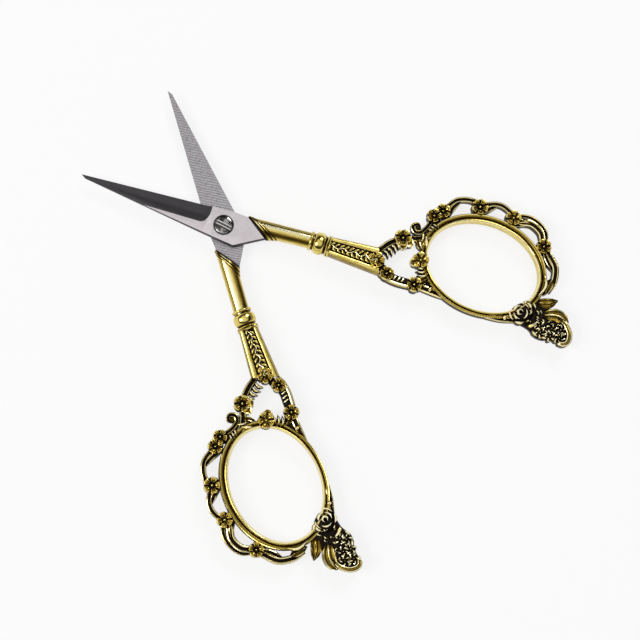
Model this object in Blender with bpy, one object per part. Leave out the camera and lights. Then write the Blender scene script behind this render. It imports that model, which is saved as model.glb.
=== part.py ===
"""Embroidery scissors with cast floral handles, in metres, +Z up.

+Z runs along the pivot screw towards its slotted head, and +Y along the closing line
towards the tips. The origin is the centre of the screw's flat back end. Both halves are
worked out closed, in a flat frame of their own: along is the distance from the pivot
towards the handles, out is the distance from the closing line, and up is measured from
the plane where the blades meet. The rear half is the front one turned over about +Y.
"""

import math

import bmesh
import bpy
from mathutils import Matrix, Vector

# Opening at rest, between the two closing lines
REST_OPENING = math.radians(47.2)

# Blades
BLADE_LENGTH = 0.03685
BLADE_THICKNESS = 0.0012
BLADE_GAP = 0.0001
BACK_THICKNESS_AT_TIP = 0.0009
TIP_WIDTH = 0.0007
TIP_OFFSET = 0.0001
TIP_ROUND = 0.0012
TAPER_START = 0.0040
EDGE_OUT = 0.0034
SPINE_OUT = 0.0038
RICASSO_START = 0.0046
RICASSO_WIDEST = 0.0010
RICASSO_WIDTH_ADDED = 0.0005
SPINE_WIDEST = 0.0021
SPINE_SWELL = 0.0151
SPINE_SWELL_OUT = 0.0027
HEEL_ALONG = 0.0039
HEEL_OUT = 0.0042
SPINE_CHAMFER = 0.00025
EDGE_LAND = 0.0002
BEVEL_WIDTH = 0.0045
BEVEL_CORNER = 0.0014
BEVEL_RUNOUT = 0.0009
CUTTER_SPARE = 0.001

# Tang, and the socket that the handle is cast around it
TANG_WIDTH = 0.0020
TANG_THICKNESS = 0.0007
TANG_LENGTH = 0.0085
TANG_ROOT = 0.0045
TANG_RISE = 0.0002
TANG_CLEARANCE = 0.0001
SHOULDER_GAP = 0.0001
SHOULDER_INSET = 0.00015

# Pivot screw
SCREW_SHANK = 0.0029
SCREW_HEAD = 0.0045
SCREW_CHAMFER = 0.0002
HEAD_PROUD = 0.00045
HEAD_SUNK = 0.0005
HEAD_CLEARANCE = 0.00025
HEAD_SEAT_GAP = 0.00005
PIVOT_CLEARANCE = 0.00008
SLOT_WIDTH = 0.0006
SLOT_DEPTH = 0.00045
SLOT_TURN = math.radians(-73)
ROUND_STEPS = 48

# Collar: a blunt mouth against the blade's shoulder, sloping up to an oblique rim
MOUTH_OUTER = Vector((0.00480, 0.00405))
MOUTH_INNER = Vector((0.01075, 0.00020))
MOUTH_THICKNESS = 0.0027
COLLAR_OUTER = Vector((0.00490, 0.00455))
COLLAR_INNER = Vector((0.01285, 0.00088))
COLLAR_RIM = 0.0008
COLLAR_GROOVE = 0.0004
COLLAR_EDGE = 0.0002
COLLAR_THICKNESS = 0.0046

# Upper shank, between the collar and the knop
SHANK_WIDTH = 0.0039
SHANK_THICKNESS = 0.0041

# Knop: ring, bead and ring, turned about the shank's line
KNOP_START = 0.0208
KNOP_OUT = 0.00395
KNOP_LENGTH = 0.0054
KNOP_RING = 0.0049
KNOP_BEAD = 0.0055
KNOP_TURN = math.radians(2.5)
KNOP_STEPS = 14

# Lower shank: a flared plate with raised borders and a sunk panel of leaves
FLARE_END = 0.0383
FLARE_END_OUT = 0.00480
FLARE_START_WIDTH = 0.0046
FLARE_END_WIDTH = 0.0069
FLARE_SLANT = 0.0010
FLARE_THICKNESS = 0.0038
PANEL_SINK = 0.0005
PANEL_LEAVES = 4
PANEL_LEAF_WIDTH = 0.0019
PANEL_LEAF_SPREAD = 0.0011

# Finger ring: an oval with two raised rims
RING_START = 0.04877
RING_INSIDE_LENGTH = 0.0278
RING_INSIDE_WIDTH = 0.0210
RING_TILT = math.radians(-2.3)
RING_BAR_INNER = 0.0017
RING_BAR_LACE = 0.0024
RING_THICKNESS = 0.0033
RING_STEPS = 40

# Cast flowers and leaves, set out from the ring, the flared shank and the rose in
# steps of one unit
RELIEF_UNIT = 0.001
PETALS = 5
FLOWER_RADIUS = 0.0020
FLOWER_THICKNESS = 0.0040
LEAF_THICKNESS = 0.0034
LEAF_WIDTH = 0.0012
BROAD_LEAF_WIDTH = 0.0021
PETAL_WIDTH = 0.0027
CREASED_FROM = 0.0019
STRAND_WIDTH = 0.0015
THIN_STRAND_WIDTH = 0.0013
BROAD_STRAND_WIDTH = 0.0019
RIM_WIDTH = 0.0027
FOOT_WIDTH = 0.0028
STRAND_THICKNESS = 0.0026
ROSE_RADIUS = 0.0030
ROSE_THICKNESS = 0.0054
BLOSSOM_RADIUS = 0.0013
BLOSSOM_THICKNESS = 0.0038
SCROLL_RADIUS = 0.0010
SMALL_SCROLL_RADIUS = 0.0008
BUTTON_STEPS = 8

# Clear space between the closed handles
CLOSED_CLEARANCE = 0.0003

BLADES_MEET = BLADE_THICKNESS + BLADE_GAP / 2
RING_CENTRE = Vector(
    (
        RING_START + RING_INSIDE_LENGTH / 2,
        CLOSED_CLEARANCE / 2 + RING_BAR_INNER + RING_INSIDE_WIDTH / 2,
    )
)


def clear_scene():
    for old in list(bpy.data.objects):
        bpy.data.objects.remove(old, do_unlink=True)


def make_material(name, colour, metallic, roughness):
    material = bpy.data.materials.new(name)
    material.use_nodes = True
    shader = material.node_tree.nodes["Principled BSDF"]
    shader.inputs["Base Color"].default_value = (*colour, 1.0)
    shader.inputs["Metallic"].default_value = metallic
    shader.inputs["Roughness"].default_value = roughness
    return material


def at(along, out, up=0.0):
    """A point of a closed half, in its own frame."""
    return Vector((out, -along, up))


def add_object(name, shape):
    """A scene object from a bmesh, with its faces pointing out."""
    bmesh.ops.recalc_face_normals(shape, faces=shape.faces)
    mesh = bpy.data.meshes.new(name)
    shape.to_mesh(mesh)
    shape.free()
    made = bpy.data.objects.new(name, mesh)
    bpy.context.scene.collection.objects.link(made)
    return made


def skin(name, rings, closed=False):
    """A solid through rings of points, capped at its ends or closed on itself."""
    shape = bmesh.new()
    loops = [[shape.verts.new(point) for point in ring] for ring in rings]
    pairs = list(zip(loops, loops[1:]))
    if closed:
        pairs.append((loops[-1], loops[0]))
    else:
        shape.faces.new(loops[0])
        shape.faces.new(loops[-1])
    for first, second in pairs:
        for i in range(len(first)):
            j = (i + 1) % len(first)
            shape.faces.new((first[i], first[j], second[j], second[i]))
    return add_object(name, shape)


def prism(name, outline, low, high):
    """An upright solid over a flat outline of (along, out) points."""
    return skin(name, [[at(*point, up) for point in outline] for up in (low, high)])


def combine(target, others, operation):
    """Joins or cuts target with the others, and keeps only the result."""
    helpers = bpy.data.collections.new("helpers")
    bpy.context.scene.collection.children.link(helpers)
    for other in others:
        helpers.objects.link(other)
    change = target.modifiers.new(operation.lower(), "BOOLEAN")
    change.operation = operation
    change.solver = "EXACT"
    change.operand_type = "COLLECTION"
    change.collection = helpers
    graph = bpy.context.evaluated_depsgraph_get()
    result = bpy.data.meshes.new_from_object(target.evaluated_get(graph))
    target.modifiers.clear()
    target.data = result
    for other in others:
        bpy.data.objects.remove(other, do_unlink=True)
    bpy.data.collections.remove(helpers)
    return target


def smooth_path(points, steps):
    """A curve through a few (along, out) points, with steps spans between each two."""
    points = [Vector(point) for point in points]
    ends = [2 * points[0] - points[1], *points, 2 * points[-1] - points[-2]]
    path = []
    for before, start, end, after in zip(ends, ends[1:], ends[2:], ends[3:]):
        for i in range(steps):
            t = i / steps
            path.append(
                0.5
                * (
                    2 * start
                    + (end - before) * t
                    + (2 * before - 5 * start + 4 * end - after) * t**2
                    + (3 * start - before - 3 * end + after) * t**3
                )
            )
    return [*path, points[-1]]


def blend(values, share):
    """The value at a share of the way along a short list of evenly spaced values."""
    place = share * (len(values) - 1)
    first = min(int(place), len(values) - 2)
    return values[first] + (values[first + 1] - values[first]) * (place - first)


# Sections are (across, up) shares of a half width and half thickness, going round once.
PLAIN_SECTION = ((-1, 0), (-0.6, 0.8), (0.6, 0.8), (1, 0), (0.6, -0.8), (-0.6, -0.8))
STRAND_SECTION = (
    (-1, 0),
    (-0.6, 1),
    (0, 0.55),
    (0.6, 1),
    (1, 0),
    (0.6, -1),
    (0, -0.55),
    (-0.6, -1),
)
LEAF_SECTION = ((-1, 0), (-0.55, 0.75), (0, 0.5), (0.55, 0.75), (1, 0))
RIDGED_SECTION = ((-1, 0), (0, 0.9), (1, 0), (0, -0.9))
LEAF_SECTION += tuple((across, -up) for across, up in reversed(LEAF_SECTION[1:-1]))


def sweep(name, path, widths, thickness, section, steps=4):
    """A section carried along a curved path, its half width blended from widths."""
    line = smooth_path(path, steps)
    rings = []
    for i, point in enumerate(line):
        run = line[min(i + 1, len(line) - 1)] - line[max(i - 1, 0)]
        side = Vector((-run.y, run.x)).normalized()
        share = i / (len(line) - 1)
        half_width = blend(widths, share)
        half_thickness = thickness / 2 * blend((0.85, 1, 1, 0.85), share)
        rings.append(
            [
                at(*(point + side * across * half_width), up * half_thickness)
                for across, up in section
            ]
        )
    return skin(name, rings)


def strand(name, path, width=STRAND_WIDTH, steps=2):
    """A cast stem with two raised edges."""
    half = width / 2
    widths = (half * 0.8, half, half, half * 0.8)
    return sweep(name, path, widths, STRAND_THICKNESS, STRAND_SECTION, steps)


def leaf(name, path, width=LEAF_WIDTH, thickness=LEAF_THICKNESS, steps=2):
    """A pointed leaf along a path from its stem to its tip, creased if it is broad."""
    half = width / 2
    widths = (half * 0.35, half * 0.9, half, half * 0.75, half * 0.15)
    section = LEAF_SECTION if width > CREASED_FROM else RIDGED_SECTION
    return sweep(name, path, widths, thickness, section, steps)


def foot(name, start, end):
    """The short web that a lace flower stands on."""
    half = FOOT_WIDTH / 2
    return sweep(name, (start, end), (half, half), STRAND_THICKNESS, PLAIN_SECTION, 1)


def rosette(name, centre, radius, thickness, turn=0.0, per_petal=3):
    """A flower with cupped petals on both faces and a sunk heart."""
    levels = (
        (0.32, -0.62, 0.0),
        (0.88, -0.92, 0.16),
        (0.88, 0.92, 0.16),
        (0.32, 0.62, 0.0),
    )
    count = PETALS * per_petal
    rings = []
    for reach, rise, lobe in levels:
        ring = []
        for i in range(count):
            angle = turn + math.tau * i / count
            swell = abs(math.sin(PETALS * (angle - turn) / 2))
            reach_here = radius * (reach + lobe * (swell - 0.6))
            up = thickness / 2 * rise * (1 - 0.25 * (1 - swell) * bool(lobe))
            offset = Vector((math.cos(angle), math.sin(angle))) * reach_here
            ring.append(at(*(Vector(centre) + offset), up))
        rings.append(ring)
    return skin(name, rings)


def button(name, centre, radius, thickness=LEAF_THICKNESS * 1.08):
    """The round end of a small scroll, domed on both faces."""
    rings = []
    for reach, rise in ((0.55, -1), (1, -0.6), (1, 0.6), (0.55, 1)):
        ring = []
        for i in range(BUTTON_STEPS):
            angle = math.tau * (i + 0.5) / BUTTON_STEPS
            offset = Vector((math.cos(angle), math.sin(angle))) * radius * reach
            ring.append(at(*(Vector(centre) + offset), thickness / 2 * rise))
        rings.append(ring)
    return skin(name, rings)


def by_ring(angle, offset):
    """(along, out) of a point outside the ring's inner edge, at degrees from its far end."""
    turn = math.radians(angle)
    long, wide = RING_INSIDE_LENGTH / 2, RING_INSIDE_WIDTH / 2
    edge = Vector((long * math.cos(turn), wide * math.sin(turn)))
    normal = Vector((wide * math.cos(turn), long * math.sin(turn))).normalized()
    point = edge + normal * offset * RELIEF_UNIT
    point.rotate(Matrix.Rotation(RING_TILT, 2))
    return RING_CENTRE + point


def by_flare(along, out):
    """(along, out) of a point set out from the middle of the flared shank's end."""
    return Vector((FLARE_END, FLARE_END_OUT)) + Vector((along, out)) * RELIEF_UNIT


def oblong(centre, side, half_width, half_thickness, count=12, power=0.75):
    """A rounded rectangular ring of points standing across a shank."""
    ring = []
    for i in range(count):
        angle = math.tau * (i + 0.5) / count
        cos, sin = math.cos(angle), math.sin(angle)
        across = math.copysign(abs(cos) ** power, cos) * half_width
        up = math.copysign(abs(sin) ** power, sin) * half_thickness
        ring.append(at(*(centre + side * across), up))
    return ring


def shank_line():
    """The middle of the collar's mouth, and the way the upper shank runs from it."""
    middle = (COLLAR_OUTER + COLLAR_INNER) / 2
    return middle, (Vector((KNOP_START, KNOP_OUT)) - middle).normalized()


def upper_shank():
    """The collar's mouth, its rim and groove, and the tapered shank behind them."""
    middle, line = shank_line()
    mouth = COLLAR_OUTER - COLLAR_INNER
    side = mouth.normalized()
    half = mouth.length / 2
    neck = half - COLLAR_GROOVE
    rim = COLLAR_THICKNESS / 2
    square = Vector((-math.sin(KNOP_TURN), math.cos(KNOP_TURN)))
    width, height = SHANK_WIDTH / 2, SHANK_THICKNESS / 2
    knop_at = Vector((KNOP_START, KNOP_OUT))
    straight = (COLLAR_INNER.x + COLLAR_RIM * 2 - middle.x) / line.x
    nose = MOUTH_OUTER - MOUTH_INNER
    nose_middle = (MOUTH_OUTER + MOUTH_INNER) / 2
    nose_half = nose.length / 2
    rings = [
        oblong(nose_middle, nose.normalized(), nose_half, MOUTH_THICKNESS / 2, power=0.5),
        oblong(middle, side, half - COLLAR_EDGE, rim - COLLAR_EDGE),
        oblong(middle + line * COLLAR_EDGE, side, half, rim),
        oblong(middle + line * COLLAR_RIM, side, half, rim),
        oblong(middle + line * (COLLAR_RIM + COLLAR_EDGE), side, neck, height),
        oblong(middle + line * straight, square, width, height),
        oblong(knop_at, square, width, width),
        oblong(knop_at + line * KNOP_LENGTH / 2, square, width, width),
    ]
    return skin("upper_shank", rings)


def knop():
    """Ring, bead and ring, turned in one profile about the shank's line."""
    ring, bead = KNOP_RING / 2, KNOP_BEAD / 2
    neck = SHANK_WIDTH / 2 * 1.05
    profile = (
        (0.00, neck * 0.8),
        (0.02, ring * 0.9),
        (0.08, ring),
        (0.14, ring * 0.9),
        (0.18, neck),
        (0.24, bead * 0.82),
        (0.38, bead * 0.97),
        (0.54, bead * 0.97),
        (0.68, bead * 0.82),
        (0.76, neck * 1.1),
        (0.81, bead * 0.94),
        (0.89, bead),
        (0.97, bead * 0.94),
        (1.00, neck),
    )
    start = Vector((KNOP_START, KNOP_OUT))
    run = Vector((math.cos(KNOP_TURN), math.sin(KNOP_TURN)))
    side = Vector((-run.y, run.x))
    rings = []
    for share, radius in profile:
        centre = start + run * share * KNOP_LENGTH
        ring_points = []
        for i in range(KNOP_STEPS):
            angle = math.tau * (i + 0.5) / KNOP_STEPS
            across, up = radius * math.cos(angle), radius * math.sin(angle)
            ring_points.append(at(*(centre + side * across), up))
        rings.append(ring_points)
    return skin("knop", rings)


def flared_shank():
    """The lower shank, whose borders stand over a panel on both faces."""
    panel = 1 - PANEL_SINK / (FLARE_THICKNESS / 2)
    top = ((1, 0.5), (0.9, 0.95), (0.7, 0.95), (0.6, panel))
    half_section = (*top, *((-across, up) for across, up in reversed(top)))
    section = (*half_section, *((-across, -up) for across, up in half_section))
    start = Vector((KNOP_START, KNOP_OUT))
    run = Vector((math.cos(KNOP_TURN), math.sin(KNOP_TURN)))
    start += run * KNOP_LENGTH * 0.8
    end = by_flare(0, 0)
    line = (end - start).normalized()
    side = Vector((-line.y, line.x))
    rings = []
    for share in (0, 0.12, 0.4, 0.7, 1):
        centre = start.lerp(end, share)
        grow = max(0.0, share - 0.12) / 0.88
        width = FLARE_START_WIDTH + (FLARE_END_WIDTH - FLARE_START_WIDTH) * grow
        slant = (side * width / 2) - line * FLARE_SLANT * grow
        rings.append(
            [
                at(*(centre + slant * across), up * FLARE_THICKNESS / 2)
                for across, up in section
            ]
        )
    return skin("flared_shank", rings)


def panel_leaves():
    """Leaves lying to either side in turn along the flared shank's panel."""
    leaves = []
    root = Vector((KNOP_START + KNOP_LENGTH, KNOP_OUT))
    step = (by_flare(0, 0) - root) / (PANEL_LEAVES + 1)
    side = Vector((-step.y, step.x)).normalized()
    for i in range(PANEL_LEAVES):
        lean = side * PANEL_LEAF_SPREAD * (-1) ** i
        base = root + step * (i + 0.3) - lean * 0.4
        tip = base + step * 1.25 + lean
        path = (base, (base + tip) / 2 + lean * 0.3, tip)
        leaves.append(
            leaf(f"panel_leaf_{i}", path, PANEL_LEAF_WIDTH, FLARE_THICKNESS * 1.12)
        )
    return leaves


def finger_ring():
    """The oval bar, narrower beside the closing line, with a groove between two rims."""
    section = (
        (0.0, 0.0),
        (0.2, 1.0),
        (0.48, 0.68),
        (0.8, 0.94),
        (1.0, 0.0),
        (0.8, -0.94),
        (0.48, -0.68),
        (0.2, -1.0),
    )
    rings = []
    for i in range(RING_STEPS):
        angle = 360 * i / RING_STEPS
        lace_side = 0.5 + 0.5 * math.sin(math.radians(angle))
        bar = RING_BAR_INNER + (RING_BAR_LACE - RING_BAR_INNER) * lace_side
        rings.append(
            [
                at(*by_ring(angle, across * bar / RELIEF_UNIT), up * RING_THICKNESS / 2)
                for across, up in section
            ]
        )
    return skin("finger_ring", rings, closed=True)


# Flowers of the heart-shaped opening and of the lace
FLARE_FLOWER = by_flare(-0.2, 0)
HEEL_FLOWER = by_flare(2.9, -2.2)
SHOULDER_FLOWER = by_flare(3.7, 7.5)
THROAT_FLOWER = by_ring(200, 2.2)
LOWER_FLOWER = by_ring(220.5, 5)
TWIN_FLOWER_A = by_ring(152.5, 4.1)
TWIN_FLOWER_B = by_ring(143.5, 4.1)
LACE_FLOWER_A = by_ring(111, 4)
LACE_FLOWER_B = by_ring(81.5, 3.9)
LACE_FLOWER_C = by_ring(45.5, 3.7)

# Each flower's place, and its share of FLOWER_RADIUS
FLOWERS = (
    (FLARE_FLOWER, 1.0),
    (HEEL_FLOWER, 0.9),
    (SHOULDER_FLOWER, 1.1),
    (THROAT_FLOWER, 1.05),
    (LOWER_FLOWER, 0.97),
    (TWIN_FLOWER_A, 0.9),
    (TWIN_FLOWER_B, 0.95),
    (LACE_FLOWER_A, 1.05),
    (LACE_FLOWER_B, 1.0),
    (LACE_FLOWER_C, 0.95),
)


def lace():
    """The stems that arch from flower to flower round the outside of the ring."""
    return [
        strand(
            "arch_a",
            (
                TWIN_FLOWER_B,
                by_ring(132, 5.7),
                by_ring(123.5, 5.9),
                by_ring(115.5, 5.3),
                LACE_FLOWER_A,
            ),
        ),
        strand("root_a", (TWIN_FLOWER_B, by_ring(132.5, 4.4), by_ring(124, 5.2))),
        strand(
            "arch_b",
            (
                LACE_FLOWER_A,
                by_ring(103.5, 5.1),
                by_ring(95.5, 5.7),
                by_ring(88, 5.2),
                LACE_FLOWER_B,
            ),
        ),
        strand("root_b", (LACE_FLOWER_A, by_ring(104, 4), by_ring(98, 4.9))),
        strand(
            "arch_c_outer",
            (
                LACE_FLOWER_B,
                by_ring(74.5, 5.9),
                by_ring(66.5, 6.7),
                by_ring(57.5, 6.7),
                by_ring(51, 5.7),
                LACE_FLOWER_C,
            ),
            THIN_STRAND_WIDTH,
        ),
        strand(
            "arch_c_inner",
            (
                LACE_FLOWER_B,
                by_ring(72.5, 4.3),
                by_ring(65.5, 5.5),
                by_ring(57, 5.5),
                by_ring(51, 4.6),
                LACE_FLOWER_C,
            ),
        ),
        strand(
            "arch_d",
            (
                LACE_FLOWER_C,
                by_ring(35, 4.1),
                by_ring(25.5, 4.5),
                by_ring(17, 4.2),
                by_ring(10, 3.7),
                by_ring(2, 2.9),
            ),
            BROAD_STRAND_WIDTH,
        ),
        strand("root_d", (LACE_FLOWER_C, by_ring(35.5, 3), by_ring(28.5, 3))),
        leaf(
            "arch_leaf",
            (by_ring(14.5, 3.3), by_ring(6.5, 2.7), by_ring(-3, 2.4)),
            BROAD_LEAF_WIDTH,
        ),
        leaf(
            "ribbon_leaf",
            (by_ring(19, 1.5), by_ring(6.5, 2), by_ring(-8, 1.2)),
            LEAF_WIDTH,
            RING_THICKNESS * 1.12,
        ),
        strand(
            "far_root",
            (
                by_ring(-83, 0.8),
                by_ring(-69, 1.1),
                by_ring(-55.5, 1.8),
                by_ring(-41.5, 2.8),
            ),
        ),
    ]


def heart():
    """What closes the heart-shaped opening between the flared shank and the ring."""
    return [
        strand(
            "lower_rim",
            (HEEL_FLOWER, by_flare(5.2, -2.9), by_flare(7.4, -2.8), LOWER_FLOWER),
            RIM_WIDTH,
        ),
        leaf("heel_petal", (by_flare(0.9, -3), by_flare(4.4, -3.7)), LEAF_WIDTH),
        strand(
            "lower_root",
            (LOWER_FLOWER, by_ring(233, 2.4), by_ring(246, 0.9)),
            BROAD_STRAND_WIDTH,
        ),
        leaf("throat_leaf_a", (by_ring(221, 1.4), LOWER_FLOWER), BROAD_LEAF_WIDTH),
        leaf("throat_leaf_b", (by_ring(213, 0.5), by_ring(213, 3.4))),
        strand("throat_root", (by_ring(208, 1), by_ring(224, 1.2)), BROAD_STRAND_WIDTH),
        strand(
            "upper_rim",
            (by_flare(-0.8, 2.5), by_flare(1.1, 5.2), SHOULDER_FLOWER),
            BROAD_STRAND_WIDTH,
        ),
        leaf("finger_leaf_a", (by_flare(-0.6, 3.2), by_flare(2, 1.4))),
        leaf("finger_leaf_b", (by_flare(-0.1, 4.3), by_flare(2.7, 2.3))),
        leaf("finger_leaf_c", (by_flare(0.6, 5.3), by_flare(3.3, 3.3))),
        leaf("finger_leaf_d", (by_flare(1.4, 6.3), by_flare(3.7, 4.3))),
        leaf(
            "shoulder_petal",
            (SHOULDER_FLOWER, by_flare(4.6, 4.8)),
            PETAL_WIDTH,
        ),
        leaf("fan_petal", (SHOULDER_FLOWER, by_flare(6.8, 6.5)), PETAL_WIDTH),
        leaf("throat_petal", (THROAT_FLOWER, by_ring(202, 4.4)), PETAL_WIDTH),
        leaf("neck_leaf_a", (by_ring(178, 3.2), by_ring(189, 1.6)), BROAD_LEAF_WIDTH),
        leaf("neck_leaf_b", (by_ring(172, 2), by_ring(187, 0.4))),
        strand(
            "neck_band",
            (
                SHOULDER_FLOWER,
                by_ring(176.5, 2.6),
                by_ring(168.5, 1.3),
                by_ring(158.5, 1),
            ),
            BROAD_STRAND_WIDTH,
        ),
    ]


def scroll():
    """The hooked scroll on the shoulder, which runs up to the twin flowers."""
    return [
        strand(
            "scroll",
            (
                by_ring(166.5, 5),
                by_ring(170, 5.7),
                by_ring(173.5, 5.1),
                by_ring(172.5, 3.8),
                by_ring(166.5, 3.1),
                by_ring(159.5, 3.3),
                TWIN_FLOWER_A,
            ),
            THIN_STRAND_WIDTH,
        ),
        button("scroll_eye", by_ring(170, 4.7), SCROLL_RADIUS, LEAF_THICKNESS),
        foot("twin_foot", by_ring(157, 1.2), TWIN_FLOWER_A),
        foot("lace_foot_b", by_ring(80, 1.2), LACE_FLOWER_B),
        foot("lace_foot_c", by_ring(43, 1.2), LACE_FLOWER_C),
        button("small_scroll_near", by_ring(231, 2.3), SMALL_SCROLL_RADIUS),
        button("small_scroll_far", by_ring(-52, 1.5), SMALL_SCROLL_RADIUS),
    ]


# The spray at the far end of the ring is set out from its rose
ROSE_PLACE = by_ring(-30, 2.6)


def by_rose(along, out):
    return ROSE_PLACE + Vector((along, out)) * RELIEF_UNIT


def spray():
    """Rose, leaves and blossoms, backed by a cupped leaf whose rim curls under."""
    cup = (
        by_rose(-1.5, -2.7),
        by_rose(2.4, -4.1),
        by_rose(5, -4.6),
        by_rose(9.6, -4.5),
        by_rose(11.1, -3.1),
        by_rose(11.3, -0.6),
        by_rose(10.3, 0.9),
        by_rose(7.4, 2.6),
        by_rose(4.6, 3.3),
        by_rose(2.6, 4.2),
        by_rose(-1, 3.4),
    )
    middle = sum(cup, Vector((0, 0))) / len(cup)
    half = STRAND_THICKNESS / 2
    cup_rings = [
        [at(*middle.lerp(point, share), half * rise) for point in cup]
        for share, rise in ((0.8, -0.9), (1, -0.5), (1, 0.5), (0.8, 0.9))
    ]
    made = [
        skin("cup", cup_rings),
        rosette("rose_outer", ROSE_PLACE, ROSE_RADIUS, ROSE_THICKNESS * 0.78),
        rosette(
            "rose_middle",
            ROSE_PLACE,
            ROSE_RADIUS * 0.7,
            ROSE_THICKNESS * 0.92,
            turn=0.6,
            per_petal=2,
        ),
        button("rose_bud", by_rose(-0.6, 0), ROSE_RADIUS * 0.36, ROSE_THICKNESS),
        leaf(
            "upper_leaf",
            (by_rose(1.2, 3.7), by_rose(3.7, 4.3), by_rose(6.1, 5.9)),
            PETAL_WIDTH,
        ),
        leaf(
            "large_leaf",
            (by_rose(4, 1.4), by_rose(7.6, 2.4), by_rose(10, 1.4)),
            PETAL_WIDTH * 1.15,
        ),
        sweep(
            "cup_rim",
            (
                by_rose(9.4, 1.4),
                by_rose(11.6, -1),
                by_rose(11.2, -3.4),
                by_rose(9.6, -3.9),
            ),
            [STRAND_WIDTH * share for share in (0.27, 0.4, 0.47, 0.33)],
            STRAND_THICKNESS,
            PLAIN_SECTION,
            3,
        ),
    ]
    blossoms = (
        by_rose(4, -3.2),
        by_rose(7, -1.8),
        by_rose(8.7, -2.6),
    )
    made += [
        rosette(f"blossom_{i}", place, BLOSSOM_RADIUS, BLOSSOM_THICKNESS, 0.4 * i, 2)
        for i, place in enumerate(blossoms)
    ]
    return made


def tang_block(name, spare):
    """The tang, or with some spare round it the socket that takes it."""
    middle, line = shank_line()
    side = Vector((-line.y, line.x))
    start, end = -TANG_ROOT, TANG_LENGTH + spare
    half = TANG_WIDTH / 2 + spare
    corners = (
        middle + line * start + side * half,
        middle + line * start - side * half,
        middle + line * end - side * half,
        middle + line * end + side * half,
    )
    low = BLADE_GAP / 2 + TANG_RISE
    return prism(name, corners, low - spare, low + TANG_THICKNESS + spare)


def make_handle():
    """One handle casting: ring, shanks, knop and all its ornament in one piece."""
    flowers = [
        rosette(f"flower_{i}", place, FLOWER_RADIUS * share, FLOWER_THICKNESS, 0.5 * i)
        for i, (place, share) in enumerate(FLOWERS)
    ]
    parts = [
        upper_shank(),
        knop(),
        flared_shank(),
        *panel_leaves(),
        *flowers,
        *lace(),
        *heart(),
        *scroll(),
        *spray(),
    ]
    handle = combine(finger_ring(), parts, "UNION")
    return combine(handle, [tang_block("socket", TANG_CLEARANCE)], "DIFFERENCE")


def blade_outline():
    """The blade seen flat, from its tip round to its tip, without the tang."""
    side = (MOUTH_INNER - MOUTH_OUTER).normalized()
    front = Vector((side.y, -side.x))
    outer = MOUTH_OUTER + front * SHOULDER_GAP + side * SHOULDER_INSET
    inner = MOUTH_INNER + front * SHOULDER_GAP - side * SHOULDER_INSET
    return (
        Vector((-BLADE_LENGTH, -TIP_OFFSET)),
        Vector((-RICASSO_START, EDGE_OUT)),
        Vector((RICASSO_WIDEST, EDGE_OUT + RICASSO_WIDTH_ADDED)),
        outer,
        inner,
        Vector((HEEL_ALONG, -HEEL_OUT)),
        Vector((-SPINE_WIDEST, -SPINE_OUT)),
        Vector((-SPINE_SWELL, -SPINE_SWELL_OUT)),
        Vector((TIP_ROUND - BLADE_LENGTH, -TIP_OFFSET - TIP_WIDTH)),
    )


def chamfer_spine(blade, height):
    """Breaks the outer corner that runs along the heel and the spine to the tip."""
    shape = bmesh.new()
    shape.from_mesh(blade.data)
    spine = [
        edge
        for edge in shape.edges
        if all(abs(vert.co.z - height) < SPINE_CHAMFER / 2 for vert in edge.verts)
        and sum(vert.co.x for vert in edge.verts) < 0
    ]
    bmesh.ops.bevel(
        shape,
        geom=spine,
        offset=SPINE_CHAMFER,
        segments=1,
        profile=0.5,
        affect="EDGES",
        material=-1,
    )
    shape.to_mesh(blade.data)
    shape.free()


def cut_by_plane(blade, point, normal):
    """Takes off what stands above a plane, and closes the cut."""
    shape = bmesh.new()
    shape.from_mesh(blade.data)
    geometry = [*shape.verts, *shape.edges, *shape.faces]
    cut = bmesh.ops.bisect_plane(
        shape, geom=geometry, plane_co=point, plane_no=normal, clear_outer=True
    )
    rim = [item for item in cut["geom_cut"] if isinstance(item, bmesh.types.BMEdge)]
    bmesh.ops.holes_fill(shape, edges=rim)
    bmesh.ops.recalc_face_normals(shape, faces=shape.faces)
    shape.to_mesh(blade.data)
    shape.free()


def bevel_cutter():
    """What the wheel takes off: a slope from the cutting edge up to a line near the spine."""
    low = BLADE_GAP / 2 + EDGE_LAND
    high = BLADE_GAP / 2 + BLADE_THICKNESS
    tip = Vector((-BLADE_LENGTH, -TIP_OFFSET))
    heel = Vector((-RICASSO_START, EDGE_OUT))
    edge = (heel - tip).normalized()
    down = Vector((edge.y, -edge.x))
    rise = (high - low) / BEVEL_WIDTH
    margin = BEVEL_RUNOUT

    def over(along_edge, across):
        """A flat point set out from the heel of the cutting edge, and its height."""
        return heel - edge * along_edge + down * across, low + rise * across

    length = (heel - tip).length + margin
    corner = BEVEL_CORNER
    outline = (
        (length, -margin, 0.0),
        (0, -margin, 1.0),
        (0, 0, 1.0),
        (0, BEVEL_WIDTH - corner * 1.6, 1.0),
        (corner * 0.12, BEVEL_WIDTH - corner, 0.8),
        (corner * 0.4, BEVEL_WIDTH - corner * 0.4, 0.5),
        (corner, BEVEL_WIDTH, 0.1),
        (corner, BEVEL_WIDTH + margin, 0.0),
        (length, BEVEL_WIDTH + margin, 0.0),
    )
    lower, upper = [], []
    for along_edge, across, runout in outline:
        point, height = over(along_edge, across)
        lower.append(at(*point, height))
        upper.append(at(*(point + edge * BEVEL_RUNOUT * runout), high + margin))
    return skin("ground_slope", [lower, upper])


def circle(radius, up=0.0):
    """Points round the pivot's axis."""
    turns = [math.tau * i / ROUND_STEPS for i in range(ROUND_STEPS)]
    return [Vector((radius * math.cos(turn), radius * math.sin(turn), up)) for turn in turns]


def round_cutter(name, radius, low, high):
    """A drill or counterbore about the pivot's axis."""
    return skin(name, [circle(radius, low), circle(radius, high)])


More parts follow.
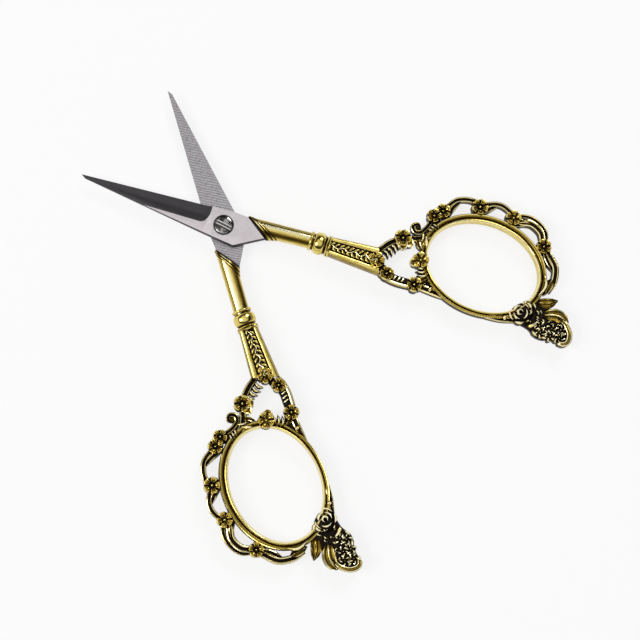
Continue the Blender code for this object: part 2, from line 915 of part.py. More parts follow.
def make_blade(name, hole_radius, counterbore):
    """One blade with its ground slope, tapered tip, pivot hole and tang."""
    low = BLADE_GAP / 2
    high = low + BLADE_THICKNESS
    blade = prism(name, blade_outline(), low, high)
    chamfer_spine(blade, high)
    fall = (BLADE_THICKNESS - BACK_THICKNESS_AT_TIP) / (BLADE_LENGTH - TAPER_START)
    cut_by_plane(blade, at(-TAPER_START, 0, high), Vector((0, fall, 1)))
    blade = combine(blade, [tang_block("tang", 0.0)], "UNION")
    above = high + CUTTER_SPARE
    cutters = [bevel_cutter(), round_cutter("hole", hole_radius, low - CUTTER_SPARE, above)]
    if counterbore:
        radius = SCREW_HEAD / 2 + HEAD_CLEARANCE
        cutters.append(round_cutter("counterbore", radius, high - HEAD_SUNK, above))
    return combine(blade, cutters, "DIFFERENCE")


def make_screw():
    """The pivot screw: a slotted domed head on a shank that ends flush behind."""
    shank, head = SCREW_SHANK / 2, SCREW_HEAD / 2
    face = BLADES_MEET + BLADE_GAP / 2 + BLADE_THICKNESS
    seat = face - HEAD_SUNK + HEAD_SEAT_GAP
    top = face + HEAD_PROUD
    dome = HEAD_PROUD * 0.75
    profile = [
        (shank - SCREW_CHAMFER, 0),
        (shank, SCREW_CHAMFER),
        (shank, seat),
        (head - SCREW_CHAMFER, seat),
        (head, seat + SCREW_CHAMFER),
        (head, top - dome),
    ]
    for degrees in (25, 50, 75):
        turn = math.radians(degrees)
        profile.append((head * math.cos(turn), top - dome * (1 - math.sin(turn))))
    screw = skin("screw_body", [circle(radius, up) for radius, up in profile])
    half = SLOT_WIDTH / 2
    outline = (
        (-half, -SCREW_HEAD),
        (half, -SCREW_HEAD),
        (half, SCREW_HEAD),
        (-half, SCREW_HEAD),
    )
    slot = prism("slot", outline, top - SLOT_DEPTH, top + CUTTER_SPARE)
    slot.data.transform(Matrix.Rotation(SLOT_TURN, 4, "Z"))
    return combine(screw, [slot], "DIFFERENCE")


def finish(piece, material, name):
    """Names a piece, gives it its material and smooths its round faces."""
    piece.name = name
    piece.data.materials.clear()
    piece.data.materials.append(material)
    piece.data.shade_smooth()
    piece.data.set_sharp_from_angle(angle=math.radians(35))


def add_half(name, turn):
    """An empty on the pivot's axis that carries one half."""
    half = bpy.data.objects.new(name, None)
    half.matrix_world = Matrix.Translation((0, 0, BLADES_MEET)) @ turn
    bpy.context.scene.collection.objects.link(half)
    return half


def main():
    clear_scene()
    steel = make_material("blade_steel", (0.56, 0.55, 0.56), 1.0, 0.32)
    gold = make_material("antique_gold", (0.60, 0.44, 0.14), 1.0, 0.30)
    dark = make_material("screw_steel", (0.30, 0.29, 0.29), 1.0, 0.28)

    front_half = add_half("front_half", Matrix.Rotation(REST_OPENING / 2, 4, "Z"))
    rear_half = add_half(
        "rear_half",
        Matrix.Rotation(-REST_OPENING / 2, 4, "Z") @ Matrix.Rotation(math.pi, 4, "Y"),
    )

    front_handle = make_handle()
    finish(front_handle, gold, "front_handle")
    rear_handle = front_handle.copy()
    rear_handle.data = front_handle.data.copy()
    rear_handle.name = "rear_handle"
    bpy.context.scene.collection.objects.link(rear_handle)

    hole = SCREW_SHANK / 2 + PIVOT_CLEARANCE
    front_blade = make_blade("front_blade", hole, True)
    rear_blade = make_blade("rear_blade", hole, False)
    finish(front_blade, steel, "front_blade")
    finish(rear_blade, steel, "rear_blade")

    front_handle.parent = front_half
    front_blade.parent = front_half
    rear_handle.parent = rear_half
    rear_blade.parent = rear_half

    finish(make_screw(), dark, "pivot_screw")


main()
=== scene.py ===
import math

import bmesh
import bpy
from mathutils import Matrix, Vector
from mathutils.bvhtree import BVHTree


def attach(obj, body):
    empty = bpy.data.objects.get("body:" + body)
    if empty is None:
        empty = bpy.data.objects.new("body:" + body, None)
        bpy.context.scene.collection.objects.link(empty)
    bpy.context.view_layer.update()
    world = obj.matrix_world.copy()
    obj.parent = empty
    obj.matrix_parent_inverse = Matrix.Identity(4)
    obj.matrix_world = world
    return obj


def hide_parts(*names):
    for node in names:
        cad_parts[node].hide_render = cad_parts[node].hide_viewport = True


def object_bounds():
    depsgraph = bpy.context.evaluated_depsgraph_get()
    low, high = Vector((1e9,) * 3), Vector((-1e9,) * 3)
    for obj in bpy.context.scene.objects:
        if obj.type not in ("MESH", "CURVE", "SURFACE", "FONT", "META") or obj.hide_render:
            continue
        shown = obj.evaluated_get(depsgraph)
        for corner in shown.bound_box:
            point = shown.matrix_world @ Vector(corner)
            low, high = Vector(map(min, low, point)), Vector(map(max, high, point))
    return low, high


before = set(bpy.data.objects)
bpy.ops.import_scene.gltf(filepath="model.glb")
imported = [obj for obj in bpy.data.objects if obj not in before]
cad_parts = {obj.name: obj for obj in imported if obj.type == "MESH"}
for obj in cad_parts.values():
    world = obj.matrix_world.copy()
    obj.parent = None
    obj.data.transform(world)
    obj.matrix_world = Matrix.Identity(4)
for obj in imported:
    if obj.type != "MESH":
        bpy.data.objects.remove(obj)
cad_box = [[float(value) for value in corner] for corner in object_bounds()]


# Blades. Each real blade is a stamped and ground bar of stainless steel: lapped on the inner
# face, ground to a slope outside that is drawn dark, and left satin round the pivot. Sides,
# corners and the counterbore's floor are drawn near-black as painted shade.

HALF_OPENING = math.radians(23.6)
BLADES_MEET = 0.00125
EDGE_SOFTNESS = 0.00005
LAPPING_PITCH = 0.00042
SLOPE_LINE_SCALE = 9000
SATIN_SCALE = 5000
CORNER_ANGLE = math.radians(15)
# How steeply a face's normal stands on the ground flats and on the ground slopes
FLAT_NORMAL = 0.995
SLOPE_NORMAL = 0.88
INNER_FACE_DEPTH = 0.0003
COUNTERBORE_FLOOR = (0.0019, 0.0023)
COUNTERBORE_LIP_LEVEL = 0.0024
COUNTERBORE_LIP_RADIUS = 0.0025


class Signal:
    """One output socket of a material, in sums and products that add Math nodes."""

    def __init__(self, tree, socket=None):
        self.tree = tree
        self.socket = socket

    def node(self, kind, inputs, output=0, **settings):
        """An output of a new node, with values or signals given to its inputs."""
        made = self.tree.nodes.new(kind)
        for name, value in settings.items():
            setattr(made, name, value)
        for name, value in inputs.items():
            if isinstance(value, Signal):
                self.tree.links.new(value.socket, made.inputs[name])
            else:
                made.inputs[name].default_value = value
        return Signal(self.tree, made.outputs[output])

    def maths(self, operation, *values):
        return self.node("ShaderNodeMath", dict(enumerate(values)), operation=operation)

    def __add__(self, other):
        return self.maths("ADD", self, other)

    def __sub__(self, other):
        return self.maths("SUBTRACT", self, other)

    def __rsub__(self, other):
        return self.maths("SUBTRACT", other, self)

    def __mul__(self, other):
        return self.maths("MULTIPLY", self, other)

    __radd__ = __add__

    def step(self, low, high):
        """0 below low, 1 above high, and smooth between."""
        limits = {"Value": self, "From Min": low, "From Max": high}
        return self.node("ShaderNodeMapRange", limits, interpolation_type="SMOOTHSTEP")

    def mix(self, first, second):
        """The first colour where this is 0, the second where it is 1."""
        sides = {0: self, 6: first, 7: second}
        return self.node("ShaderNodeMix", sides, 2, data_type="RGBA")

    def ramp(self, stops):
        """The colour that (position, colour) stops give this value."""
        made = self.tree.nodes.new("ShaderNodeValToRGB")
        elements = made.color_ramp.elements
        while len(elements) < len(stops):
            elements.new(0.5)
        for element, (position, colour) in zip(elements, stops):
            element.position = position
            element.color = (*colour, 1.0)
        self.tree.links.new(self.socket, made.inputs["Fac"])
        return Signal(self.tree, made.outputs["Color"])

    def noise(self, place, scale, detail, roughness=0.55):
        values = {
            "Vector": place,
            "Scale": scale,
            "Detail": detail,
            "Roughness": roughness,
        }
        return self.node("ShaderNodeTexNoise", values)

    def place(self, turn=0.0, stretch=(1.0, 1.0, 1.0)):
        """Object coordinates, turned about the pivot's axis and stretched."""
        raw = self.node("ShaderNodeTexCoord", {}, "Object")
        values = {"Vector": raw, "Rotation": (0, 0, turn), "Scale": stretch}
        return self.node("ShaderNodeMapping", values)

    def bump(self, distance, strength):
        values = {"Height": self, "Distance": distance, "Strength": strength}
        return self.node("ShaderNodeBump", values)


def new_finish(name):
    """A metal's material, a signal to build its nodes from, and its shader."""
    material = bpy.data.materials.new(name)
    material.use_nodes = True
    shader = material.node_tree.nodes["Principled BSDF"]
    shader.inputs["Metallic"].default_value = 1.0
    return material, Signal(material.node_tree), shader


def feed(shader, **sockets):
    """Links signals to sockets; a socket's spaces are written as underscores."""
    for name, signal in sockets.items():
        signal.tree.links.new(signal.socket, shader.inputs[name.replace("_", " ")])


def lapped_steel(name, turn):
    """Inner faces: fine lines drawn across the blade by the lapping stone."""
    material, start, shader = new_finish(name)
    place = start.place(turn)
    across = start.node("ShaderNodeSeparateXYZ", {0: place}, "X")
    along = start.node("ShaderNodeSeparateXYZ", {0: place}, "Y")
    wander = start.noise(place, 700, 2.0)
    phase = (along + across * 0.25 + wander * 0.0003) * (math.tau / LAPPING_PITCH)
    lines = phase.maths("SINE", phase) * 0.5 + 0.5
    breaks = start.noise(start.place(turn, (0.35, 1.6, 1.0)), 2600, 4.0)
    lines = lines * breaks.step(0.22, 0.5)
    pits = start.noise(place, 1500, 2.0).step(0.68, 0.74)
    tone = (lines * 0.85 + breaks * 0.15).step(0.1, 0.75)
    colour = tone.mix((0.17, 0.16, 0.17, 1), (0.58, 0.555, 0.575, 1))
    colour = (pits * 0.5).mix(colour, (0.16, 0.15, 0.17, 1))
    feed(
        shader,
        Base_Color=colour,
        Roughness=0.42 - lines * 0.08 + pits * 0.1,
        Normal=(lines * 0.6 + breaks * 0.4).bump(0.00003, 0.7),
    )
    return material


def satin_steel(name, turn):
    """Flats round the pivot: fine brushing with a faint pink cast."""
    material, start, shader = new_finish(name)
    brush = start.noise(start.place(turn, (0.25, 3.0, 1.0)), SATIN_SCALE, 4.0, 0.6)
    cloud = start.noise(start.place(turn), 300, 2.0)
    tone = (brush * 0.6 + cloud * 0.4).step(0.3, 0.7)
    feed(
        shader,
        Base_Color=tone.mix((0.54, 0.495, 0.515, 1), (0.68, 0.635, 0.65, 1)),
        Roughness=0.34 + brush * 0.12,
        Normal=brush.bump(0.00001, 0.5),
    )
    return material


def ground_steel(name, turn):
    """Ground slopes: dark, with fine lines from edge to back."""
    material, start, shader = new_finish(name)
    brush = start.noise(start.place(turn, (0.12, 2.0, 1.0)), SLOPE_LINE_SCALE, 3.0)
    cloud = start.noise(start.place(turn, (1.0, 0.4, 1.0)), 420, 3.0)
    tone = brush * 0.35 + cloud * 0.65
    feed(
        shader,
        Base_Color=tone.mix((0.060, 0.056, 0.060, 1), (0.125, 0.118, 0.124, 1)),
        Roughness=0.40 + brush * 0.12,
        Normal=brush.bump(0.00001, 0.6),
    )
    return material


def painted_shade_steel():
    """Painted shade: near-black steel on backs, shoulders, ground-off corners and inside the
    screw's slot, where these lie in shadow.
    """
    material, start, shader = new_finish("painted_shade_steel")
    grain = start.noise(start.place(), 3000, 4.0)
    feed(
        shader,
        Base_Color=grain.mix((0.05, 0.047, 0.05, 1), (0.16, 0.15, 0.16, 1)),
        Roughness=0.45 + grain * 0.1,
        Normal=grain.bump(0.00001, 0.5),
    )
    return material


def smooth_mesh(net, name, sharp):
    """A mesh from a bmesh, smooth except over edges past an angle in degrees."""
    mesh = bpy.data.meshes.new(name)
    net.to_mesh(mesh)
    net.free()
    mesh.shade_smooth()
    mesh.set_sharp_from_angle(angle=math.radians(sharp))
    return mesh


def soften(net, corner_angle, radius):
    """Rounds off the edges at which the surface turns by more than an angle."""
    corners = [
        edge
        for edge in net.edges
        if len(edge.link_faces) == 2 and edge.calc_face_angle() > corner_angle
    ]
    bmesh.ops.bevel(
        net,
        geom=corners,
        offset=radius,
        segments=2,
        profile=0.5,
        affect="EDGES",
        clamp_overlap=True,
        material=-1,
    )


def add_piece(mesh, name, body, node):
    """Puts a mesh in the scene as a piece that rides a body and dresses a CAD node."""
    piece = bpy.data.objects.new(name, mesh)
    bpy.context.scene.collection.objects.link(piece)
    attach(piece, body)
    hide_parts(node)


def make_blade(side, turn, painted_shade_finish):
    """A copy of the CAD blade with soft corners and a finish for each ground face."""
    node = f"{side}_blade"
    net = bmesh.new()
    net.from_mesh(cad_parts[node].data)
    bmesh.ops.remove_doubles(net, verts=net.verts, dist=0.000001)
    bmesh.ops.dissolve_limit(
        net, angle_limit=math.radians(0.5), verts=net.verts, edges=net.edges
    )
    soften(net, CORNER_ANGLE, EDGE_SOFTNESS)
    floor_low, floor_high = COUNTERBORE_FLOOR
    for face in net.faces:
        slant = abs(face.normal.z)
        middle = face.calc_center_median()
        inner = abs(middle.z - BLADES_MEET) < INNER_FACE_DEPTH
        bored = side == "front" and floor_low < middle.z < floor_high
        near_screw = middle.xy.length < COUNTERBORE_LIP_RADIUS
        lip = near_screw and middle.z > COUNTERBORE_LIP_LEVEL
        # Flats and the counterbore's lip take lapped or satin steel and slopes ground steel;
        # sides, corners and the counterbore's floor take near-black steel as painted shade
        if (slant > FLAT_NORMAL and not bored) or lip:
            face.material_index = 0 if inner else 1
        elif SLOPE_NORMAL < slant < FLAT_NORMAL:
            face.material_index = 2
        else:
            face.material_index = 3
    mesh = smooth_mesh(net, node, 20)
    mesh.materials.append(lapped_steel(f"{side}_lapped_steel", turn))
    mesh.materials.append(satin_steel(f"{side}_satin_steel", turn))
    mesh.materials.append(ground_steel(f"{side}_ground_steel", turn))
    mesh.materials.append(painted_shade_finish)
    add_piece(mesh, f"{side}_blade_ground", f"{side}_half", node)


painted_shade_finish = painted_shade_steel()
# Satin steel laid on the faces of the screw's slot lips as a painted highlight
lip_highlight_steel = satin_steel("lip_highlight_steel", 0.0)
make_blade("front", -HALF_OPENING, painted_shade_finish)
make_blade("rear", HALF_OPENING, painted_shade_finish)


# Pivot screw. A turned steel screw with a domed, slotted head, polished and blackened;
# it drops through the front blade's counterbore and threads into the rear blade.

MM = 0.001
FRONT_FACE = 2.5
SCREW_HEAD_RADIUS = 2.25
SCREW_SHANK_RADIUS = 1.45
HEAD_TOP = FRONT_FACE + 0.43
HEAD_SEAT = FRONT_FACE - 0.45
HEAD_SHOULDER = FRONT_FACE + 0.11
SLOT_WIDTH = 0.45
SLOT_DEPTH = 0.45
SLOT_TURN = math.radians(-73)
SLOT_BEVEL = 0.09
SLOT_CORNER_ANGLE = math.radians(35)
SHANK_CHAMFER = 0.2
HEAD_CHAMFER = 0.12
# Where the painted highlight on the lips beside the slot fades out, in metres from its
# middle
LIP_HIGHLIGHT_FADE = (0.00044, 0.00056)
# The levels between which the slot's faces lie, and how far off they and its lips reach
SLOT_LEVELS = (HEAD_SEAT + 0.1, HEAD_TOP - 0.2)
SLOT_REACH = SLOT_WIDTH / 2 + 0.01
LIP_REACH = SLOT_WIDTH / 2 + 0.1
LIP_SLANT = 0.2


def turned(profile, steps):
    """A profile of points spun once about the Z axis and closed where it meets it."""
    net = bmesh.new()
    verts = [net.verts.new(point) for point in profile]
    edges = [net.edges.new(pair) for pair in zip(verts, verts[1:])]
    bmesh.ops.spin(
        net,
        geom=[*verts, *edges],
        cent=(0, 0, 0),
        axis=(0, 0, 1),
        angle=math.tau,
        steps=steps,
        use_merge=True,
    )
    bmesh.ops.remove_doubles(net, verts=net.verts, dist=0.0001)
    bmesh.ops.recalc_face_normals(net, faces=net.faces)
    return net


def cut_away(net, cutter):
    """What is left of net once the cutter's solid is taken off."""
    objects = []
    for number, source in enumerate((net, cutter)):
        mesh = bpy.data.meshes.new(f"cut_{number}")
        source.to_mesh(mesh)
        source.free()
        objects.append(bpy.data.objects.new(f"cut_{number}", mesh))
        bpy.context.scene.collection.objects.link(objects[-1])
    change = objects[0].modifiers.new("cut", "BOOLEAN")
    change.operation = "DIFFERENCE"
    change.solver = "EXACT"
    change.object = objects[1]
    graph = bpy.context.evaluated_depsgraph_get()
    left = bmesh.new()
    left.from_mesh(objects[0].evaluated_get(graph).to_mesh())
    for made in objects:
        bpy.data.objects.remove(made, do_unlink=True)
    return left


def black_polish():
    """Blackened and polished steel, rubbed bright in patches, with a painted highlight along
    the slot's lips.
    """
    material, start, shader = new_finish("blackened_screw_steel")
    cloud = start.noise(start.place(), 900, 3.0)
    by_slot = start.place(-SLOT_TURN - math.pi / 2)
    across = start.node("ShaderNodeSeparateXYZ", {0: by_slot}, "X")
    # A painted highlight along the lips of the slot, raised to the bright colour
    painted_lip_highlight = 1 - across.maths("ABSOLUTE", across).step(*LIP_HIGHLIGHT_FADE)
    scuffs = start.noise(start.place(0.4, (6.0, 0.5, 1.0)), 2500, 3.0).step(0.55, 0.7)
    tone = cloud.step(0.44, 0.62) * 0.6 + scuffs * 0.2
    tone = tone.maths("MAXIMUM", tone, painted_lip_highlight)
    feed(
        shader,
        Base_Color=tone.mix((0.05, 0.048, 0.047, 1), (0.62, 0.60, 0.58, 1)),
        Roughness=0.13 + scuffs * 0.12,
        Normal=scuffs.bump(0.000006, 0.4),
    )
    return material


dome = [
    (
        SCREW_HEAD_RADIUS * math.cos(math.radians(turn)),
        0,
        HEAD_SHOULDER + (HEAD_TOP - HEAD_SHOULDER) * math.sin(math.radians(turn)),
    )
    for turn in range(0, 91, 6)
]
screw = turned(
    [
        (0, 0, 0),
        (SCREW_SHANK_RADIUS - SHANK_CHAMFER, 0, 0),
        (SCREW_SHANK_RADIUS, 0, SHANK_CHAMFER),
        (SCREW_SHANK_RADIUS, 0, HEAD_SEAT),
        (SCREW_HEAD_RADIUS - HEAD_CHAMFER, 0, HEAD_SEAT),
        (SCREW_HEAD_RADIUS, 0, HEAD_SEAT + HEAD_CHAMFER),
        *dome,
    ],
    96,
)
slot = bmesh.new()
bmesh.ops.create_cube(slot, size=1)
bmesh.ops.scale(slot, vec=(SLOT_WIDTH, 3 * SCREW_HEAD_RADIUS, 2), verts=slot.verts)
bmesh.ops.translate(slot, vec=(0, 0, HEAD_TOP - SLOT_DEPTH + 1), verts=slot.verts)
bmesh.ops.rotate(
    slot,
    matrix=Matrix.Rotation(SLOT_TURN + math.pi / 2, 3, "Z"),
    verts=slot.verts,
)
screw = cut_away(screw, slot)
soften(screw, SLOT_CORNER_ANGLE, SLOT_BEVEL)
slot_side = Vector((math.sin(-SLOT_TURN), math.cos(SLOT_TURN), 0))
# The slot's inside takes near-black steel as painted shade, and the faces of its lips satin
# steel as a painted highlight
for face in screw.faces:
    middle = face.calc_center_median()
    off = abs(middle.dot(slot_side))
    in_head = SLOT_LEVELS[0] < middle.z < SLOT_LEVELS[1]
    if in_head and off < SLOT_REACH:
        face.material_index = 1
    elif off < LIP_REACH and abs(face.normal.dot(slot_side)) > LIP_SLANT:
        face.material_index = 2
bmesh.ops.scale(screw, vec=(MM, MM, MM), verts=screw.verts)
screw_mesh = smooth_mesh(screw, "pivot_screw_turned", 30)
screw_mesh.materials.append(black_polish())
screw_mesh.materials.append(painted_shade_finish)
screw_mesh.materials.append(lip_highlight_steel)
add_piece(screw_mesh, "pivot_screw_turned", "rear_half", "pivot_screw")


# Collar and upper shank. The handle is cast in zinc alloy round the blade's tang; its mouth
# slopes up, dark with patina and with painted shade from the blade, to an oblique bright
# rim, a groove and a second ring, and a smooth tapering tube runs on from there, with
# painted reflections in bands along it.

# Each step's outer and inner point, half height and patina, with painted shade at the mouth,
# from the mouth to the tube
COLLAR_STEPS = (
    ((4.80, 4.05), (10.75, 0.20), 1.35, 1.00),
    ((4.84, 4.20), (11.05, 0.30), 1.75, 0.95),
    ((4.92, 4.38), (11.40, 0.40), 2.05, 0.80),
    ((5.00, 4.48), (11.58, 0.45), 2.26, -0.55),
    ((5.14, 4.54), (11.98, 0.57), 2.30, -0.65),
    ((5.22, 4.50), (12.12, 0.70), 2.12, 0.60),
    ((5.30, 4.44), (12.24, 0.78), 2.00, 0.95),
    ((5.48, 4.44), (12.56, 0.82), 2.00, 0.90),
    ((5.58, 4.50), (12.66, 0.80), 2.14, 0.10),
    ((5.66, 4.53), (12.76, 0.83), 2.18, -0.40),
    ((5.80, 4.53), (12.98, 0.90), 2.18, -0.30),
    ((5.88, 4.48), (13.08, 1.00), 2.08, 0.50),
    ((6.00, 4.40), (13.22, 1.10), 2.00, 0.80),
)
# Painted reflections across the tube in bright and dark bands, from its inner side to its
# outer side
PAINTED_TUBE_REFLECTIONS = (0.0, 0.45, 0.75, 0.30, -0.20, -0.30, -0.10, 0.45, -0.1)
KNOP_START = Vector((20.8, 3.95))
KNOP_TURN = math.radians(2.5)
SHANK_HALF_WIDTH = 1.95
SHANK_HALF_HEIGHT = 1.98
TUBE_INSIDE_KNOP = 1.0
SHORT_RAYS = 18
RAY_REACH = 1.3
GOLDEN_ANGLE = 2.39996
# The share of a point's view that is closed in where patina starts and where it ends
PATINA_STARTS, PATINA_ENDS = 0.22, 0.60
# Rays start this far off the surface; ones that graze it more than this don't count
RAY_START, GRAZING = 0.02, 0.15
# How much less a wall at full reach hides, and how much of its patina a crest loses
FAR_WALL_LOSS, CREST_LOSS = 0.6, 0.7
TUBE_STEPS = 24
HALVES = {
    "front": Matrix.Rotation(HALF_OPENING, 4, "Z"),
    "rear": Matrix.Rotation(-HALF_OPENING, 4, "Z") @ Matrix.Rotation(math.pi, 4, "Y"),
}


def at(along, out, up=0.0):
    """A point of a closed half in millimetres: from the pivot, from the closing line
    and from the plane where the blades meet."""
    return Vector((out, -along, up))


def new_casting():
    """A net whose points keep their tone of patina and painted light, and their place in a
    section.
    """
    net = bmesh.new()
    net.verts.layers.float.new("patina_and_painted_light")
    net.verts.layers.int.new("place")
    return net


def station(centre, side, half_width, half_height, run, lift=0.0, tint=-1.0):
    """Where a section stands: its middle, the way it faces, its half sizes and tint."""
    columns = (
        at(*side.normalized()) * half_width,
        Vector((0, 0, half_height)),
        at(*run.normalized()),
        at(*centre, lift),
    )
    matrix = Matrix.Identity(4)
    for i, column in enumerate(columns):
        for j in range(3):
            matrix[j][i] = column[j]
    return matrix, tint


def join(net, part):
    """Moves a part's points and faces into a casting's net."""
    mesh = bpy.data.meshes.new("part")
    part.to_mesh(mesh)
    part.free()
    net.from_mesh(mesh)
    bpy.data.meshes.remove(mesh)


def sweep(net, stations, section, closed=False):
    """Carries a section of (across, up, patina and painted light) points through stations,
    capped at its ends or closed on itself."""
    part = new_casting()
    patina_and_painted_light = part.verts.layers.float["patina_and_painted_light"]
    place = part.verts.layers.int["place"]
    ring = bmesh.ops.create_circle(
        part, cap_ends=True, radius=1, segments=len(section)
    )["verts"]
    first = face = ring[0].link_faces[0]
    for number, vert in enumerate(ring):
        vert.co = (*section[number][:2], 0)
        vert[place] = number
    last = Matrix.Identity(4)
    route = [*stations, stations[0]] if closed else stations
    for number, (matrix, tint) in enumerate(route):
        if number:
            made = bmesh.ops.extrude_face_region(part, geom=[face])["geom"]
            if face != first:
                bmesh.ops.delete(part, geom=[face], context="FACES_ONLY")
            face = next(item for item in made if isinstance(item, bmesh.types.BMFace))
        bmesh.ops.transform(part, matrix=matrix @ last.inverted(), verts=face.verts)
        for vert in face.verts:
            vert[patina_and_painted_light] = max(tint, section[vert[place]][2])
        last = matrix
    if closed:
        ends = [*ring, *face.verts]
        bmesh.ops.delete(part, geom=[first, face], context="FACES_ONLY")
        bmesh.ops.remove_doubles(part, verts=ends, dist=0.001)
    join(net, part)


def blend(values, share):
    """The value at a share of the way along a short list of evenly spaced values."""
    place = share * (len(values) - 1)
    first = min(int(place), len(values) - 2)
    return values[first] + (values[first + 1] - values[first]) * (place - first)


def oblong(count, power, painted_bands=(0, 0)):
    """A rounded oblong section of unit half sizes, with bands of painted reflection across
    it.
    """
    points = []
    for i in range(count):
        angle = math.tau * (i + 0.5) / count
        cos, sin = math.cos(angle), math.sin(angle)
        across = math.copysign(abs(cos) ** power, cos)
        up = math.copysign(abs(sin) ** power, sin)
        points.append((across, up, blend(painted_bands, (across + 1) / 2)))
    return points


def mark_recesses(net):
    """Adds patina to the points whose view is closed in by what stands around them,
    less on crests, which are rubbed bright."""
    patina_and_painted_light = net.verts.layers.float["patina_and_painted_light"]
    net.normal_update()
    tree = BVHTree.FromBMesh(net)
    rays = []
    for i in range(SHORT_RAYS):
        height = (2 * i + 1) / SHORT_RAYS - 1
        turn = Matrix.Rotation(GOLDEN_ANGLE * i, 3, "Z")
        rays.append(turn @ Vector((math.sqrt(1 - height**2), 0, height)))
    for vert in net.verts:
        if vert[patina_and_painted_light] > 0.9:
            continue
        start = vert.co + vert.normal * RAY_START
        hidden = total = 0.0
        for ray in rays:
            facing = ray.dot(vert.normal)
            if facing > GRAZING:
                total += facing
                distance = tree.ray_cast(start, ray, RAY_REACH)[3]
                if distance is not None:
                    hidden += facing * (1 - FAR_WALL_LOSS * distance / RAY_REACH)
        deep = (hidden / total - PATINA_STARTS) / (PATINA_ENDS - PATINA_STARTS)
        deep = min(1.0, max(0.0, deep))
        rubbed = min(1.0, max(0.0, -vert[patina_and_painted_light]))
        vert[patina_and_painted_light] += (1 - vert[patina_and_painted_light]) * deep * (1 - CREST_LOSS * rubbed)


def antique_gold():
    """Gold plate over the casting, blackened in its recesses and rubbed back; its tone also
    holds painted shade and painted reflections, and the rubbed crests' pale cream is partly
    painted highlight.
    """
    material, start, shader = new_finish("antique_gold_plate")
    place = start.place()
    patina_and_painted_light = start.node("ShaderNodeAttribute", {}, "Fac", attribute_name="patina_and_painted_light")
    cloud = start.noise(place, 450, 3.0)
    grain = start.noise(place, 3200, 4.0)
    depth = patina_and_painted_light + (cloud - 0.5) * 0.36 + (grain - 0.5) * 0.24
    brown = depth.step(0.10, 0.50)
    black = depth.step(0.48, 0.86)
    # Rubbed-bright crests in a pale cream, partly real polish and partly painted highlight
    polish_and_highlight = (0.0 - depth).step(0.02, 0.30)
    gold = cloud.step(0.35, 0.65).mix((0.60, 0.455, 0.105, 1), (0.80, 0.655, 0.20, 1))
    gold = polish_and_highlight.mix(gold, (1.0, 0.92, 0.57, 1))
    colour = brown.mix(gold, (0.18, 0.115, 0.014, 1))
    colour = black.mix(colour, (0.012, 0.009, 0.007, 1))
    feed(
        shader,
        Base_Color=colour,
        Roughness=0.15 + brown * 0.14 + black * 0.18 + (grain - 0.5) * 0.08,
        Normal=(grain * 0.5 + cloud * 0.5).bump(0.00002, 0.35),
    )
    return material


gold_finish = antique_gold()


def cast_pair(net, name):
    """Sets one casting's net on both handles, each with its plating."""
    net.verts.layers.int.remove(net.verts.layers.int["place"])
    bmesh.ops.recalc_face_normals(net, faces=net.faces)
    mark_recesses(net)
    lift = Matrix.Translation((0, 0, BLADES_MEET))
    for side, turn in HALVES.items():
        copy = net.copy()
        bmesh.ops.transform(
            copy, matrix=lift @ turn @ Matrix.Scale(MM, 4), verts=copy.verts
        )
        mesh = smooth_mesh(copy, f"{side}_{name}", 40)
        mesh.materials.append(gold_finish)
        add_piece(
            mesh, f"{side}_{name}", f"{side}_half", f"{side}_handle"
        )
    net.free()


shank = new_casting()
outer_end = Vector(COLLAR_STEPS[-1][0])
inner_end = Vector(COLLAR_STEPS[-1][1])
shank_run = (KNOP_START - (outer_end + inner_end) / 2).normalized()
square = Vector((-math.sin(KNOP_TURN), math.cos(KNOP_TURN)))
tube_end = KNOP_START + shank_run * TUBE_INSIDE_KNOP
stations = []
for outer, inner, height, tint in COLLAR_STEPS:
    outer, inner = Vector(outer), Vector(inner)
    half = (outer - inner).length / 2
    stations.append(
        station((outer + inner) / 2, outer - inner, half, height, shank_run, tint=tint)
    )
for i in range(1, TUBE_STEPS + 1):
    share = i / TUBE_STEPS
    outer = outer_end.lerp(tube_end + square * SHANK_HALF_WIDTH, share)
    inner = inner_end.lerp(tube_end - square * SHANK_HALF_WIDTH, share)
    half = (outer - inner).length / 2
    stations.append(
        station((outer + inner) / 2, outer - inner, half, SHANK_HALF_HEIGHT, shank_run)
    )
sweep(shank, stations, oblong(48, 0.85, PAINTED_TUBE_REFLECTIONS))
cast_pair(shank, "collar_and_shank")


# Knop. A ring, a round bead and a double ring, one knot between the plain shank and
# the flared one, with patina left in the lines between them.

KNOP_LENGTH = 5.4
# Share of the length, radius and patina
KNOP_PROFILE = (
    (0.00, 1.50, 1.0),
    (0.00, 2.05, 0.9),
    (0.02, 2.30, 0.1),
    (0.05, 2.43, 0.0),
    (0.09, 2.43, 0.0),
    (0.12, 2.30, 0.1),
    (0.15, 2.06, 0.9),
    (0.18, 1.98, 1.0),
    (0.20, 2.08, 0.7),
    (0.23, 2.32, 0.1),
    (0.28, 2.54, 0.0),
    (0.35, 2.68, 0.0),
    (0.43, 2.74, 0.0),
    (0.52, 2.74, 0.0),
    (0.60, 2.66, 0.0),
    (0.66, 2.50, 0.1),
    (0.71, 2.26, 0.5),
    (0.74, 2.08, 1.0),
    (0.76, 2.10, 1.0),
    (0.78, 2.34, 0.2),
    (0.80, 2.56, 0.0),
    (0.83, 2.64, 0.0),
    (0.86, 2.56, 0.4),
    (0.88, 2.48, 0.9),
    (0.90, 2.58, 0.3),
    (0.93, 2.72, 0.0),
    (0.97, 2.66, 0.0),
    (0.99, 2.40, 0.4),
    (1.00, 2.00, 0.9),
    (1.00, 1.50, 1.0),
)
knop_run = Vector((math.cos(KNOP_TURN), math.sin(KNOP_TURN)))
knop_side = Vector((-knop_run.y, knop_run.x))
knop = new_casting()
stations = []
